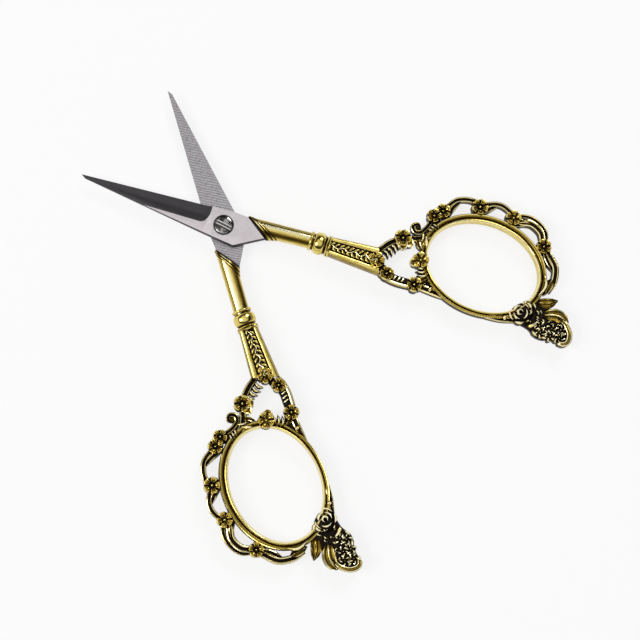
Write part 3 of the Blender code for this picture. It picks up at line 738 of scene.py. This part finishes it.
for number, (share, radius, tint) in enumerate(KNOP_PROFILE):
    middle = KNOP_START + knop_run * (KNOP_LENGTH * share + 0.001 * number)
    stations.append(station(middle, knop_side, radius, radius, knop_run, tint=tint))
sweep(knop, stations, oblong(64, 1.0))
cast_pair(knop, "knop")


# Flared shank. A plate with broad bevelled borders round a sunk dark panel, in which a
# winding stem of small leaves is cast on both faces.

# The share of the knop's length at which the flare starts inside it
FLARE_START = 0.85
FLARE_END = Vector((38.3, 4.80))
FLARE_HALF_WIDTHS = (2.3, 3.45)
FLARE_HALF_THICKNESS = 1.9
FLARE_END_THINNING = 0.97
FLARE_SLANT = 1.0
PANEL_FLOOR = 1.32
FLARE_STEPS = 36
# Where on the flare the winding stem and its leaves start, and the share they cover
VINE_START, LEAVES_START, VINE_COVERS = 0.08, 0.05, 0.88
VINE_BENDS, VINE_SWAY = 8, 0.28
VINE_LEAVES, LEAF_REACH = 20, 0.43
# The upper quarter of each section, from its side to its middle: across, up, patina
FLARE_QUARTER = (
    (1.00, 0.00, 0.60),
    (1.00, 0.32, 0.45),
    (0.98, 0.50, 0.35),
    (0.92, 0.74, 0.40),
    (0.88, 0.86, 0.35),
    (0.855, 0.93, 0.10),
    (0.82, 0.97, 0.05),
    (0.70, 1.00, 0.05),
    (0.57, 0.99, 0.00),
    (0.53, 0.95, -0.10),
    (0.505, 0.84, 0.75),
    (0.49, 0.72, 0.90),
    (0.44, 0.69, 0.80),
    (0.30, 0.68, 0.80),
    (0.15, 0.68, 0.80),
    (0.00, 0.68, 0.80),
)
STEM_QUARTER = (
    (1.00, 0.00, 1.00),
    (0.98, 0.45, 0.80),
    (0.90, 0.78, 0.25),
    (0.78, 0.96, -0.50),
    (0.62, 1.00, -0.60),
    (0.46, 0.92, -0.10),
    (0.32, 0.74, 0.70),
    (0.16, 0.62, 1.00),
    (0.00, 0.60, 1.00),
)
LEAF_QUARTER = (
    (1.00, 0.00, 1.00),
    (0.98, 0.50, 0.60),
    (0.92, 0.84, -0.05),
    (0.80, 0.92, -0.55),
    (0.66, 0.80, 0.15),
    (0.50, 0.70, 0.62),
    (0.34, 0.68, 0.62),
    (0.20, 0.74, 0.60),
    (0.08, 0.88, -0.20),
    (0.00, 0.90, -0.50),
)
RIB_QUARTER = (
    (1.00, 0.00, 1.00),
    (0.94, 0.40, 0.95),
    (0.80, 0.70, 0.65),
    (0.58, 0.90, 0.00),
    (0.30, 1.00, -0.55),
    (0.00, 1.00, -0.60),
)
PETAL_QUARTER = (
    (1.00, 0.00, 1.00),
    (0.98, 0.45, 0.70),
    (0.93, 0.78, 0.00),
    (0.84, 0.92, -0.60),
    (0.70, 0.92, -0.40),
    (0.50, 0.84, 0.15),
    (0.30, 0.80, 0.45),
    (0.00, 0.78, 0.50),
)
# Shares of a leaf's and a petal's full width and height, from the stem to the tip
LEAF_WIDTHS = (0.35, 0.85, 1.0, 0.95, 0.70, 0.10)
LEAF_HEIGHTS = (0.85, 1.0, 1.0, 0.95, 0.90, 0.70)
PETAL_WIDTHS = (0.30, 0.80, 1.0, 1.0, 0.90, 0.45)
PETAL_HEIGHTS = (0.8, 0.9, 1, 1, 0.95)
PETAL_WIDTH, PETAL_HEIGHT = 2.7, 1.75
PETAL_TINTS = (0.8, 0.3, -1, -1, -1)
CREASED_FROM = 1.9


def whole(quarter):
    """A whole section from its upper quarter."""
    upper = [*quarter, *((-x, y, tone) for x, y, tone in reversed(quarter[:-1]))]
    return [*upper, *((x, -y, tone) for x, y, tone in reversed(upper[1:-1]))]


def smooth(points, steps):
    """A curve through a few (along, out) points, with steps spans between each two."""
    points = [Vector(point) for point in points]
    ends = [2 * points[0] - points[1], *points, 2 * points[-1] - points[-2]]
    path = []
    for before, start, end, after in zip(ends, ends[1:], ends[2:], ends[3:]):
        for i in range(steps):
            t = i / steps
            path.append(
                0.5
                * (
                    2 * start
                    + (end - before) * t
                    + (2 * before - 5 * start + 4 * end - after) * t**2
                    + (3 * start - before - 3 * end + after) * t**3
                )
            )
    return [*path, points[-1]]


def draw(net, points, widths, heights, section, lift=0.0, steps=6, tints=(-1, -1)):
    """Draws a section along a smooth curve; its half sizes and its tint are blended
    from short lists."""
    path = smooth(points, steps)
    stations = []
    for i, point in enumerate(path):
        run = path[min(i + 1, len(path) - 1)] - path[max(i - 1, 0)]
        share = i / (len(path) - 1)
        width, height, tint = (blend(v, share) for v in (widths, heights, tints))
        side = Vector((-run.y, run.x))
        stations.append(station(point, side, width, height, run, lift, tint))
    sweep(net, stations, section)


STEM = whole(STEM_QUARTER)
LEAF = whole(LEAF_QUARTER)
RIB = whole(RIB_QUARTER)
PETAL = whole(PETAL_QUARTER)


def leaf(net, points, width, height=1.7, lift=0.0, steps=5, tints=(0.6, -1, -1)):
    """A pointed leaf from stem to tip: broad ones have a rib and raised edges."""
    widths = [width / 2 * share for share in LEAF_WIDTHS]
    heights = [height * share for share in LEAF_HEIGHTS]
    section = LEAF if width > CREASED_FROM else RIB
    draw(net, points, widths, heights, section, lift, steps, tints)


def petal(net, points):
    """A broad spoon-shaped petal with a bright lip."""
    widths = [PETAL_WIDTH / 2 * share for share in PETAL_WIDTHS]
    heights = [PETAL_HEIGHT * share for share in PETAL_HEIGHTS]
    draw(net, points, widths, heights, PETAL, tints=PETAL_TINTS)


flare = new_casting()
flare_start = KNOP_START + knop_run * KNOP_LENGTH * FLARE_START
flare_run = (FLARE_END - flare_start).normalized()
flare_side = Vector((-flare_run.y, flare_run.x))
stations = []
for i in range(FLARE_STEPS + 1):
    share = i / FLARE_STEPS
    half = blend(FLARE_HALF_WIDTHS, share)
    stations.append(
        station(
            flare_start.lerp(FLARE_END, share),
            flare_side * half - flare_run * FLARE_SLANT * share,
            half,
            FLARE_HALF_THICKNESS * (FLARE_END_THINNING if i in (0, FLARE_STEPS) else 1),
            flare_run,
        )
    )
sweep(flare, stations, whole(FLARE_QUARTER))
for face_up in (1, -1):
    lift = face_up * PANEL_FLOOR
    vine = []
    for i in range(VINE_BENDS + 1):
        share = VINE_START + VINE_COVERS * i / VINE_BENDS
        widening = blend(FLARE_HALF_WIDTHS, share) / FLARE_HALF_WIDTHS[0]
        sway = VINE_SWAY * widening * (-1) ** i
        vine.append(flare_start.lerp(FLARE_END, share) + flare_side * sway)
    draw(flare, vine, (0.16, 0.22, 0.26), (0.3, 0.38, 0.38), RIB, lift, 4)
    for i in range(VINE_LEAVES):
        share = LEAVES_START + VINE_COVERS * i / (VINE_LEAVES - 1)
        reach = blend(FLARE_HALF_WIDTHS, share) * LEAF_REACH
        lean = (-1) ** i
        root = flare_start.lerp(FLARE_END, share) + flare_side * 0.12 * lean
        middle = root + flare_run * 0.45 + flare_side * reach * 0.55 * lean
        tip = root + flare_run * 1.15 + flare_side * reach * 0.80 * lean
        width = 0.62 + 0.25 * share
        leaf(flare, (root, middle, tip), width, 0.46, lift, 4, (0.2, 0.05))
cast_pair(flare, "flared_shank")


# Finger ring with its lace. The bow is an oval bar with a bright bead inside, a black
# groove and a brown band outside; plum flowers and arched stems are cast round it.

RING_START = 48.77
RING_HALF_LENGTH = 13.9
RING_HALF_WIDTH = 10.5
RING_TILT = math.radians(-2.3)
RING_HALF_THICKNESS = 1.65
BAR_INNER, BAR_LACE = 1.7, 2.4
RING_TO_CLOSING_LINE = 0.15
RING_CENTRE = Vector(
    (RING_START + RING_HALF_LENGTH, RING_TO_CLOSING_LINE + BAR_INNER + RING_HALF_WIDTH)
)
RING_STEPS = 144
# The bar's upper half from its inner to its outer edge: across, up, patina
RING_TOP = (
    (0.000, 0.00, 0.25),
    (0.010, 0.30, 0.10),
    (0.035, 0.55, 0.00),
    (0.080, 0.76, -0.10),
    (0.140, 0.92, -0.25),
    (0.200, 0.99, -0.20),
    (0.265, 0.99, 0.05),
    (0.320, 0.95, 0.10),
    (0.370, 0.88, 0.00),
    (0.410, 0.78, 0.35),
    (0.445, 0.68, 0.90),
    (0.480, 0.64, 0.90),
    (0.515, 0.72, 0.50),
    (0.560, 0.80, 0.42),
    (0.640, 0.85, 0.45),
    (0.720, 0.86, 0.42),
    (0.780, 0.85, 0.20),
    (0.825, 0.88, -0.10),
    (0.870, 0.90, -0.15),
    (0.910, 0.84, 0.10),
    (0.945, 0.74, 0.55),
    (0.980, 0.52, 0.80),
    (1.000, 0.25, 0.95),
    (1.000, 0.00, 1.00),
)
FLOWER_HALF_HEIGHT = 2.3
FLARE_FLOWER_HALF_HEIGHT = 2.75
FLOWER_PETALS = 5
# Steps along a flower's radius and round each of its petals
RADIUS_STEPS, PETAL_STEPS = 18, 14
PETAL_NOTCH = 0.11
TURN_BETWEEN_FLOWERS = 0.5
STRAND_STEPS = 7
STRAND_TINTS = (0.9, -1, -1, -1, 0.9)


def ring_normal(turn):
    """The direction out of the untilted ring at an angle in radians."""
    return Vector(
        (RING_HALF_WIDTH * math.cos(turn), RING_HALF_LENGTH * math.sin(turn))
    ).normalized()


def by_ring(angle, offset):
    """A point outside the ring's inner edge: 0 degrees is the far end, 90 the lace."""
    turn = math.radians(angle)
    edge = Vector(
        (RING_HALF_LENGTH * math.cos(turn), RING_HALF_WIDTH * math.sin(turn))
    )
    point = edge + ring_normal(turn) * offset
    point.rotate(Matrix.Rotation(RING_TILT, 2))
    return RING_CENTRE + point


def by_flare(along, out):
    """A point set out from the middle of the flared shank's end."""
    return FLARE_END + Vector((along, out))


def hump(x, centre, width):
    """1 at the centre, falling smoothly to 0 over about twice the width."""
    return math.exp(-(((x - centre) / width) ** 2))


def petal_relief(reach, off):
    """Height and patina on a flower's face, at a share of its radius and of a petal's
    half width: bright rims, sides and veins over brown cups, round a bead."""
    gap = hump(abs(off), 1.0, 0.20)
    side = hump(abs(off), 0.65, 0.15)
    rim = hump(reach, 0.83, 0.13)
    vein = hump(off, 0.0, 0.14)
    height = 0.58 + 0.26 * min(1.0, reach / 0.85) ** 2
    height -= 0.30 * gap * min(1.0, reach * 1.4)
    height += 0.11 * max(rim, side) * (1 - gap)
    height *= min(1.0, max(0.0, 1.03 - reach) / 0.12) ** 0.5
    bright = max(rim, 0.75 * side, 0.55 * vein) * (1 - gap)
    bright *= min(1.0, max(0.0, (reach - 0.34) / 0.16))
    tone = 0.74 + 0.26 * gap - 1.5 * bright
    if reach < 0.40:
        tone = max(tone, 0.95 - 1.5 * max(0.0, reach - 0.30))
    if reach < 0.17:
        height = 0.58 + 0.16 * math.sqrt(1 - (reach / 0.17) ** 2)
        tone = 0.9 if reach > 0.14 else -0.5
    return height, tone


def flower(net, centre, radius, half_height, turn, tint):
    """A flower on both faces: a disc spun from a line, raised into petals."""
    line = [(i / RADIUS_STEPS, 0, 0) for i in range(RADIUS_STEPS)]
    disc = turned([*line, (0.985, 0, 0), (1, 0, 0)], FLOWER_PETALS * PETAL_STEPS)
    patina_and_painted_light = disc.verts.layers.float.new("patina_and_painted_light")
    half_petal = math.pi / FLOWER_PETALS
    for vert in disc.verts:
        reach = vert.co.length
        angle = math.atan2(vert.co.y, vert.co.x)
        off = ((angle + half_petal) % (2 * half_petal) - half_petal) / half_petal
        high, tone = petal_relief(reach, off)
        vert.co *= 1 - PETAL_NOTCH * abs(off) ** 3
        vert.co.z = high if reach < 0.999 else 0.0
        vert[patina_and_painted_light] = max(tone + tint * (reach < 0.9), 0.9 * (reach > 0.97))
    bmesh.ops.scale(disc, vec=(radius, radius, half_height), verts=disc.verts)
    bmesh.ops.rotate(disc, matrix=Matrix.Rotation(turn, 3, "Z"), verts=disc.verts)
    bmesh.ops.mirror(
        disc, geom=[*disc.verts, *disc.edges, *disc.faces], axis="Z", merge_dist=0.0001
    )
    bmesh.ops.translate(disc, vec=at(*centre), verts=disc.verts)
    join(net, disc)


def boss(net, centre, radius, half_height, tint=-0.2):
    """A round boss, the same on both faces, dark at its foot."""
    part = new_casting()
    patina_and_painted_light = part.verts.layers.float["patina_and_painted_light"]
    matrix = Matrix.Translation(at(*centre)) @ Matrix.Diagonal(
        (radius, radius, half_height, 1)
    )
    bmesh.ops.create_uvsphere(
        part, u_segments=20, v_segments=12, radius=1, matrix=matrix
    )
    for vert in part.verts:
        vert[patina_and_painted_light] = max(tint, 1.0 if abs(vert.co.z) < half_height * 0.55 else -1.0)
    join(net, part)


def strand(net, points, width, end=0.85, height=1.3):
    """A cast stem of two bright ridges and a groove between, dark at both ends."""
    widths = [width / 2 * share for share in (0.85, 1, 1, end)]
    heights = [height * share for share in (0.75, 1, 1, 0.75)]
    draw(net, points, widths, heights, STEM, 0, STRAND_STEPS, STRAND_TINTS)


bow = new_casting()
ring_section = [*RING_TOP, *((x, -y, tone) for x, y, tone in reversed(RING_TOP[1:-1]))]
stations = []
for i in range(RING_STEPS):
    turn = math.tau * i / RING_STEPS
    normal = ring_normal(turn)
    normal.rotate(Matrix.Rotation(RING_TILT, 2))
    bar = BAR_INNER + (BAR_LACE - BAR_INNER) * (0.5 + 0.5 * math.sin(turn))
    stations.append(
        station(
            by_ring(math.degrees(turn), 0),
            normal,
            bar,
            RING_HALF_THICKNESS,
            Vector((-normal.y, normal.x)),
        )
    )
sweep(bow, stations, ring_section, closed=True)

FLARE_FLOWER = by_flare(-0.45, 0.0)
HEEL_FLOWER = by_flare(2.9, -2.2)
SHOULDER_FLOWER = by_flare(3.7, 7.5)
THROAT_FLOWER = by_ring(200, 1.8)
LOWER_FLOWER = by_ring(220.5, 5.0)
TWIN_FLOWER_A = by_ring(152.5, 4.1)
TWIN_FLOWER_B = by_ring(143.5, 4.1)
LACE_FLOWER_A = by_ring(111, 4.0)
LACE_FLOWER_B = by_ring(81.5, 3.9)
LACE_FLOWER_C = by_ring(45.5, 3.7)
# Each flower's place, radius and tint
FLOWERS = (
    (FLARE_FLOWER, 2.05, -0.35),
    (HEEL_FLOWER, 1.85, 0.0),
    (SHOULDER_FLOWER, 2.25, 0.0),
    (THROAT_FLOWER, 2.15, -0.35),
    (LOWER_FLOWER, 2.0, 0.0),
    (TWIN_FLOWER_A, 1.85, 0.0),
    (TWIN_FLOWER_B, 1.95, 0.0),
    (LACE_FLOWER_A, 2.15, 0.0),
    (LACE_FLOWER_B, 2.05, -0.25),
    (LACE_FLOWER_C, 1.95, 0.0),
)
for number, (centre, radius, tint) in enumerate(FLOWERS):
    half_height = FLOWER_HALF_HEIGHT if number else FLARE_FLOWER_HALF_HEIGHT
    flower(bow, centre, radius, half_height, TURN_BETWEEN_FLOWERS * number, tint)

# Each stem's width and its path through flowers and (angle, offset) pairs
STRANDS = (
    (1.5, (TWIN_FLOWER_B, (132, 5.7), (123.5, 5.9), (115.5, 5.3), LACE_FLOWER_A)),
    (1.5, (LACE_FLOWER_A, (103.5, 5.1), (95.5, 5.7), (88, 5.2), LACE_FLOWER_B)),
    (1.3, (LACE_FLOWER_B, (74.5, 5.8), (66.5, 6.55), (57.5, 6.5), (51, 5.6), LACE_FLOWER_C)),
    (2.0, (LACE_FLOWER_B, (74, 4.1), (66.5, 5.3), (57.5, 5.4), (51.5, 4.6), LACE_FLOWER_C)),
    (1.9, (LACE_FLOWER_C, (35, 4.1), (25.5, 4.5), (17, 4.2), (10, 3.7), (2, 2.9))),
    (1.9, (LOWER_FLOWER, (233, 2.4), (246, 0.9))),
    (1.9, ((208, 1.0), (224, 1.2))),
    (1.9, (SHOULDER_FLOWER, (176.5, 2.6), (168.5, 1.3), (158.5, 1.0))),
)
# Second stems that leave a flower nearer the ring and run out into the arch
ROOTS = (
    (1.5, ((145, 2.6), (139, 3.2), (133, 4.4), (126.5, 5.6))),
    (1.5, ((113, 2.4), (107, 3.0), (102, 4.2), (97, 5.4))),
    (1.4, ((84, 2.2), (77, 2.7), (72, 4.0), (66, 5.2))),
    (1.5, (LACE_FLOWER_C, (35.5, 3.0), (28.5, 3.2), (22, 3.9))),
    (1.5, ((-41.5, 2.8), (-55.5, 1.8), (-69, 1.1), (-83, 0.8))),
    (
        1.4,
        (
            TWIN_FLOWER_A,
            (159.5, 3.3),
            (166.5, 3.1),
            (172.5, 3.7),
            (173.8, 5.0),
            (170.5, 5.9),
            (167.3, 5.2),
            (168.8, 4.3),
        ),
    ),
)


def on_ring(point):
    """A flower's place as it is, and an (angle, offset) pair set out from the ring."""
    return point if isinstance(point, Vector) else by_ring(*point)


for width, points in STRANDS:
    strand(bow, [on_ring(point) for point in points], width)
for width, points in ROOTS:
    strand(bow, [on_ring(point) for point in points], width, end=0.5)
leaf(bow, [by_ring(*p) for p in ((14.5, 3.3), (6.5, 2.7), (-3, 2.4))], 2.1)
leaf(bow, [by_ring(*p) for p in ((19, 1.5), (6.5, 2.0), (-8, 1.2))], 1.2, 1.85)
for start, end in (
    (by_ring(157, 1.2), TWIN_FLOWER_A),
    (by_ring(80, 1.2), LACE_FLOWER_B),
    (by_ring(43, 1.2), LACE_FLOWER_C),
):
    draw(bow, (start, end), (1.4, 1.4), (1.2, 1.2), RIB, tints=(0.9, 0.9))

# The heart between the flared shank and the ring
rim = (HEEL_FLOWER, by_flare(5.2, -2.7), by_flare(7.4, -2.6), LOWER_FLOWER)
draw(bow, rim, (1.1, 1.2, 1.2, 1.1), (1.1, 1.1), RIB, tints=(1.0, 1.0))
lip = [by_flare(*p) for p in ((2.4, -3.5), (5.2, -3.75), (7.6, -3.6), (9.8, -3.3))]
draw(bow, lip, (0.6, 0.65, 0.65, 0.6), (1.4, 1.5, 1.4), RIB, tints=STRAND_TINTS)
for start, end in (
    ((4.8, -3.2), (5.3, -1.7)),
    ((5.8, -3.2), (6.3, -1.6)),
    ((6.8, -3.1), (7.3, -1.6)),
):
    leaf(bow, (by_flare(*start), by_flare(*end)), 0.8, 1.4)
shoulder = (by_flare(-0.8, 2.5), by_flare(1.1, 5.2), SHOULDER_FLOWER)
strand(bow, shoulder, 1.9, height=1.8)
leaf(bow, (by_flare(0.9, -3.0), by_flare(4.4, -3.7)), 1.2)
leaf(bow, (by_ring(221, 1.4), LOWER_FLOWER), 2.1)
for angle, reach in ((207.5, 2.8), (211.5, 3.5), (215.5, 3.6)):
    points = (by_ring(angle, 0.5), by_ring(angle + 1.5, 2), by_ring(angle - 1.5, reach))
    leaf(bow, points, 1.0, 1.6, tints=(0.9, 0.3, -1, 0.2))
for start, end in (
    ((0.0, 2.8), (2.0, 1.4)),
    ((0.6, 3.8), (2.7, 2.3)),
    ((1.3, 4.8), (3.3, 3.3)),
    ((2.0, 5.8), (3.7, 4.3)),
):
    start, end = by_flare(*start), by_flare(*end)
    middle = (start + end) / 2 + Vector((0.3, 0.4))
    leaf(bow, (start, middle, end), 1.0, tints=(0.3, -1, 0.1, -1, 0.5))
petal(bow, (SHOULDER_FLOWER, by_flare(4.6, 5.0)))
petal(bow, (SHOULDER_FLOWER, by_flare(6.5, 6.6)))
petal(bow, (THROAT_FLOWER, by_ring(202, 4.3)))
leaf(bow, (by_ring(178, 3.2), by_ring(189, 1.6)), 2.1)
leaf(bow, (by_ring(172, 2.0), by_ring(187, 0.4)), 1.2)
boss(bow, by_ring(170, 4.6), 0.8, 1.6, 0.7)
for angle, offset, radius in ((173, 2.6, 1.6), (166, 2.0, 1.4), (160.5, 2.1, 1.3)):
    boss(bow, by_ring(angle, offset), radius, 1.2, 1.0)
for angle in (158.5, 162, 165.5):
    leaf(bow, (by_ring(angle, 2.6), by_ring(angle - 2.5, 1.1)), 0.8, 1.8)
leaf(bow, (by_ring(171, 2.9), by_ring(176, 2.3), by_ring(181, 2.4)), 0.9, 1.6)
boss(bow, by_ring(226.5, 2.1), 1.2, 1.1, 1.0)
boss(bow, by_flare(1.6, -1.2), 1.1, 1.2, 1.0)
boss(bow, by_ring(231, 2.3), 0.8, 1.8)
boss(bow, by_ring(-52, 1.5), 0.8, 1.8)
cast_pair(bow, "bow")


# Spray. At the far end of each bow a rose, two leaves and small blossoms lie in a
# cupped leaf whose bright rim rolls over; all of it is part of the casting.

ROSE_PLACE = by_ring(-30, 2.6)
# The cupped leaf's outline, and the blossoms' places, set out from the rose
CUP = (
    (-1.5, -2.7), (1.4, -3.2), (3.4, -4.4), (4.6, -4.6), (5.8, -4.5),
    (6.9, -4.0), (9.2, -4.1), (10.4, -4.4), (11.3, -3.2), (11.4, -0.8),
    (10.3, 0.9), (7.4, 2.6), (4.6, 3.3), (2.6, 4.2), (-1.0, 3.4),
)
RIM_QUARTER = (
    (1.00, 0.00, 1.00),
    (0.99, 0.55, 0.90),
    (0.95, 0.88, 0.20),
    (0.90, 0.97, -0.50),
    (0.78, 1.00, -0.60),
    (0.58, 1.00, -0.60),
    (0.46, 0.96, -0.30),
    (0.38, 0.86, 0.30),
    (0.20, 0.82, 0.45),
    (0.00, 0.82, 0.40),
)
CRESCENT_WIDTHS = (0.12, 0.8, 1.0, 0.8, 0.12)
BLOSSOMS = (
    (4.4, -3.1), (6.7, -1.3), (6.9, -3.1), (9.2, -2.9), (8.9, -0.8), (3.7, -1.7),
)
BLOSSOM_PETAL = ((0.45, -0.3), (1.15, -0.1), (1.15, 0.55))
RIM_WIDTHS = (0.45, 0.6, 0.7, 0.75, 0.7, 0.6, 0.45)
BUD = (-1.8, -0.2)
BUD_TURN = 290
# Radius, first angle, span, width and height of each petal curled round the rose's bud
CURLS = (
    (1.55, 100, 85, 1.1, 2.35),
    (1.60, 200, 85, 1.0, 2.25),
    (1.70, -40, 90, 1.1, 2.1),
    (2.40, 50, 50, 1.0, 1.9),
    (2.50, 185, 60, 1.0, 1.9),
    (2.50, 262, 50, 1.0, 1.9),
)
# Width, height and path of each petal and curl that opens from the rose
OPEN_PETALS = (
    (1.5, 2.3, ((1.1, -2.8), (2.3, -1.9), (3.1, -0.3))),
    (1.3, 2.3, ((-1.2, 2.5), (-0.2, 2.3), (0.7, 1.3))),
    (1.0, 2.1, ((-1.6, 2.0), (-1.1, 2.9), (0.0, 3.1))),
    (0.9, 2.1, ((0.3, 3.0), (1.0, 2.6), (1.6, 1.8))),
    (0.9, 2.2, ((0.1, 1.1), (0.7, 0.8), (0.5, 0.0))),
    (0.9, 2.2, ((0.2, -1.9), (0.9, -1.4), (1.5, -1.6))),
    (0.8, 2.0, ((1.7, 1.6), (2.4, 1.3), (2.6, 0.7))),
    (0.8, 2.0, ((2.2, 0.3), (2.7, 0.0), (2.6, -0.6))),
    (0.8, 1.9, ((3.7, 0.2), (4.3, -0.3), (4.3, -1.1))),
    (0.7, 2.0, ((5.3, -0.3), (5.7, 0.3), (6.4, 0.3))),
    (0.7, 2.0, ((5.2, -2.2), (5.8, -2.6), (5.7, -3.3))),
    (0.7, 2.0, ((7.6, -0.2), (8.0, 0.3), (8.7, 0.4))),
    (0.7, 1.9, ((9.6, -1.9), (10.1, -1.6), (10.2, -0.9))),
    (0.7, 2.0, ((2.4, 1.9), (3.0, 1.7), (3.3, 1.1))),
    (0.8, 1.8, ((4.9, -4.1), (5.9, -3.9), (6.6, -3.5))),
    (0.8, 1.9, ((2.4, -3.3), (3.2, -3.9), (4.1, -4.2))),
)
RIM = (
    (8.6, 1.3), (9.9, 0.7), (11.1, -0.8), (11.5, -2.3),
    (11.3, -3.3), (10.6, -3.9), (9.7, -4.0),
)


def by_rose(along, out):
    """A point set out from the rose's place."""
    return ROSE_PLACE + Vector((along, out))


def crescent(net, centre, radius, first, span, width, height):
    """A curled petal's edge: an arc that thins to both ends."""
    points = []
    for i in range(5):
        angle = math.radians(first + span * i / 4)
        points.append(centre + Vector((math.cos(angle), math.sin(angle))) * radius)
    widths = [width / 2 * share for share in CRESCENT_WIDTHS]
    draw(net, points, widths, (height * 0.92, height, height * 0.92), RIB, 0, 4)


spray = new_casting()
outline = [at(*by_rose(*point)) for point in smooth((*CUP, CUP[0]), 5)[:-1]]
hub = sum(outline, Vector()) / len(outline)
stations = [
    (Matrix.Translation((*hub.xy, rise)) @ Matrix.Diagonal((share, share, 1, 1)), 1.0)
    for share, rise in ((0.86, -1.2), (1.0, -0.7), (1.0, 0.7), (0.86, 1.2))
]
sweep(spray, stations, [(*(point - hub).xy, 1.0) for point in outline])
boss(spray, by_rose(-0.6, 0.0), 2.9, 1.7, 1.0)
bud = by_rose(*BUD)
for radius, first, span, width, height in CURLS:
    crescent(spray, bud, radius, first, span, width, height)
crescent(spray, bud, 0.66, 30, BUD_TURN, 1.25, 2.7)
for width, height, points in OPEN_PETALS:
    leaf(spray, [by_rose(*point) for point in points], width, height)
for width, height, points, tints in (
    (2.7, 1.7, ((1.2, 3.7), (3.7, 4.3), (6.1, 5.9)), (0.9, 0.1, 0.5, 0.2, 0.6, -1)),
    (3.5, 1.8, ((3.6, 1.3), (7.2, 2.3), (10.2, 1.6)), (0.9, -1, 0.2, -1, 0.2, -1)),
):
    points = [by_rose(*point) for point in points]
    leaf(spray, points, width, height, tints=tints)
for number, centre in enumerate(BLOSSOMS):
    centre = by_rose(*centre)
    boss(spray, centre, 1.3, 1.45, 1.0)
    boss(spray, centre, 0.3, 1.8, -0.4)
    for i in range(5):
        turn = Matrix.Rotation(0.5 * number + math.tau * i / 5, 2)
        points = [centre + turn @ Vector(point) for point in BLOSSOM_PETAL]
        leaf(spray, points, 0.7, 1.9, tints=(0.2, -1, 0.4))
rim = [by_rose(*point) for point in RIM]
draw(spray, rim, RIM_WIDTHS, (1.7, 1.9, 1.9, 1.8), whole(RIM_QUARTER), steps=8)
boss(spray, by_rose(9.7, -3.95), 0.7, 2.2, -0.5)
cast_pair(spray, "spray")


# Studio. A white floor under the handles' lowest points, a white horizon, a darker
# ring above it and a bright ceiling, with a camera over the pivot.

FLOOR = cad_box[0][2] - 0.00002
FLOOR_RADIUS = 6
CAMERA_PLACE = Vector((-0.05084, -0.06032, 0.34385))
CAMERA_TURNS = [math.radians(turn) for turn in (-9.18, 2.48, 1.39)]
FOCAL_PIXELS = 1438.8
IMAGE_PIXELS = 640
# Height and shade of each band of the sky: 0 is straight down and 1 straight up
SKY_BANDS = (
    (0.00, (0.9, 0.9, 0.9)),
    (0.62, (1.1, 1.1, 1.1)),
    (0.70, (0.03, 0.03, 0.03)),
    (0.86, (0.05, 0.05, 0.05)),
    (0.94, (0.95, 0.95, 0.95)),
)


def white_floor():
    """White paper, brighter to the camera and to the metal than it is lit."""
    material = bpy.data.materials.new("white_floor")
    material.use_nodes = True
    tree = material.node_tree
    start = Signal(tree)
    path = {
        name: start.node("ShaderNodeLightPath", {}, name)
        for name in ("Is Camera Ray", "Is Glossy Ray", "Is Transmission Ray")
    }
    seen = path["Is Camera Ray"] + path["Is Glossy Ray"] + path["Is Transmission Ray"]
    paper = start.node("ShaderNodeBsdfDiffuse", {"Color": (0.93, 0.93, 0.93, 1)})
    glow = start.node("ShaderNodeEmission", {"Color": (1, 1, 1, 1)})
    share = seen.maths("MINIMUM", seen, 1) * 0.8
    both = start.node("ShaderNodeMixShader", {0: share, 1: paper, 2: glow})
    tree.links.new(both.socket, tree.nodes["Material Output"].inputs["Surface"])
    return material


floor = bmesh.new()
bmesh.ops.create_circle(floor, cap_ends=True, radius=FLOOR_RADIUS, segments=64)
bmesh.ops.translate(floor, vec=(0, 0, FLOOR), verts=floor.verts)
floor_mesh = bpy.data.meshes.new("floor")
floor.to_mesh(floor_mesh)
floor.free()
floor_mesh.materials.append(white_floor())
floor_object = bpy.data.objects.new("floor", floor_mesh)
bpy.context.scene.collection.objects.link(floor_object)

world = bpy.data.worlds.new("studio")
world.use_nodes = True
bpy.context.scene.world = world
sky = Signal(world.node_tree)
direction = sky.node("ShaderNodeTexCoord", {}, "Generated")
upward = sky.node("ShaderNodeSeparateXYZ", {0: direction}, "Z")
shade = (upward * 0.5 + 0.5).ramp(SKY_BANDS)
rightward = sky.node("ShaderNodeSeparateXYZ", {0: direction}, "X")
strength = 1 - rightward.step(0.05, 0.6) * 0.6
background = world.node_tree.nodes["Background"]
world.node_tree.links.new(shade.socket, background.inputs["Color"])
world.node_tree.links.new(strength.socket, background.inputs["Strength"])


def add_lamp(name, place, size, power, tint):
    """A square softbox that faces the pivot."""
    light = bpy.data.lights.new(name, "AREA")
    light.size = size
    light.energy = power
    light.color = tint
    lamp = bpy.data.objects.new(name, light)
    lamp.location = place
    lamp.rotation_euler = (-Vector(place)).to_track_quat("-Z", "Y").to_euler()
    bpy.context.scene.collection.objects.link(lamp)


add_lamp("left_softbox", (-0.45, 0.25, 0.60), 0.35, 2.6, (1.0, 0.98, 0.96))
add_lamp("right_softbox", (0.55, 0.10, 0.55), 0.30, 1.9, (0.97, 0.98, 1.0))

camera_data = bpy.data.cameras.new("camera")
camera_data.sensor_width = 36
camera_data.lens = FOCAL_PIXELS / IMAGE_PIXELS * camera_data.sensor_width
camera_data.clip_start = 0.01
camera_data.clip_end = 50
camera = bpy.data.objects.new("camera", camera_data)
facing = Matrix.Identity(3)
for angle, axis in zip(CAMERA_TURNS, "XYZ"):
    facing = facing @ Matrix.Rotation(angle, 3, axis)
facing = Matrix.Rotation(math.radians(-45), 3, "Z") @ facing.transposed()
camera.matrix_world = Matrix.Translation(CAMERA_PLACE) @ facing.to_4x4()
bpy.context.scene.collection.objects.link(camera)
bpy.context.scene.camera = camera
bpy.context.scene.view_settings.view_transform = "Standard"
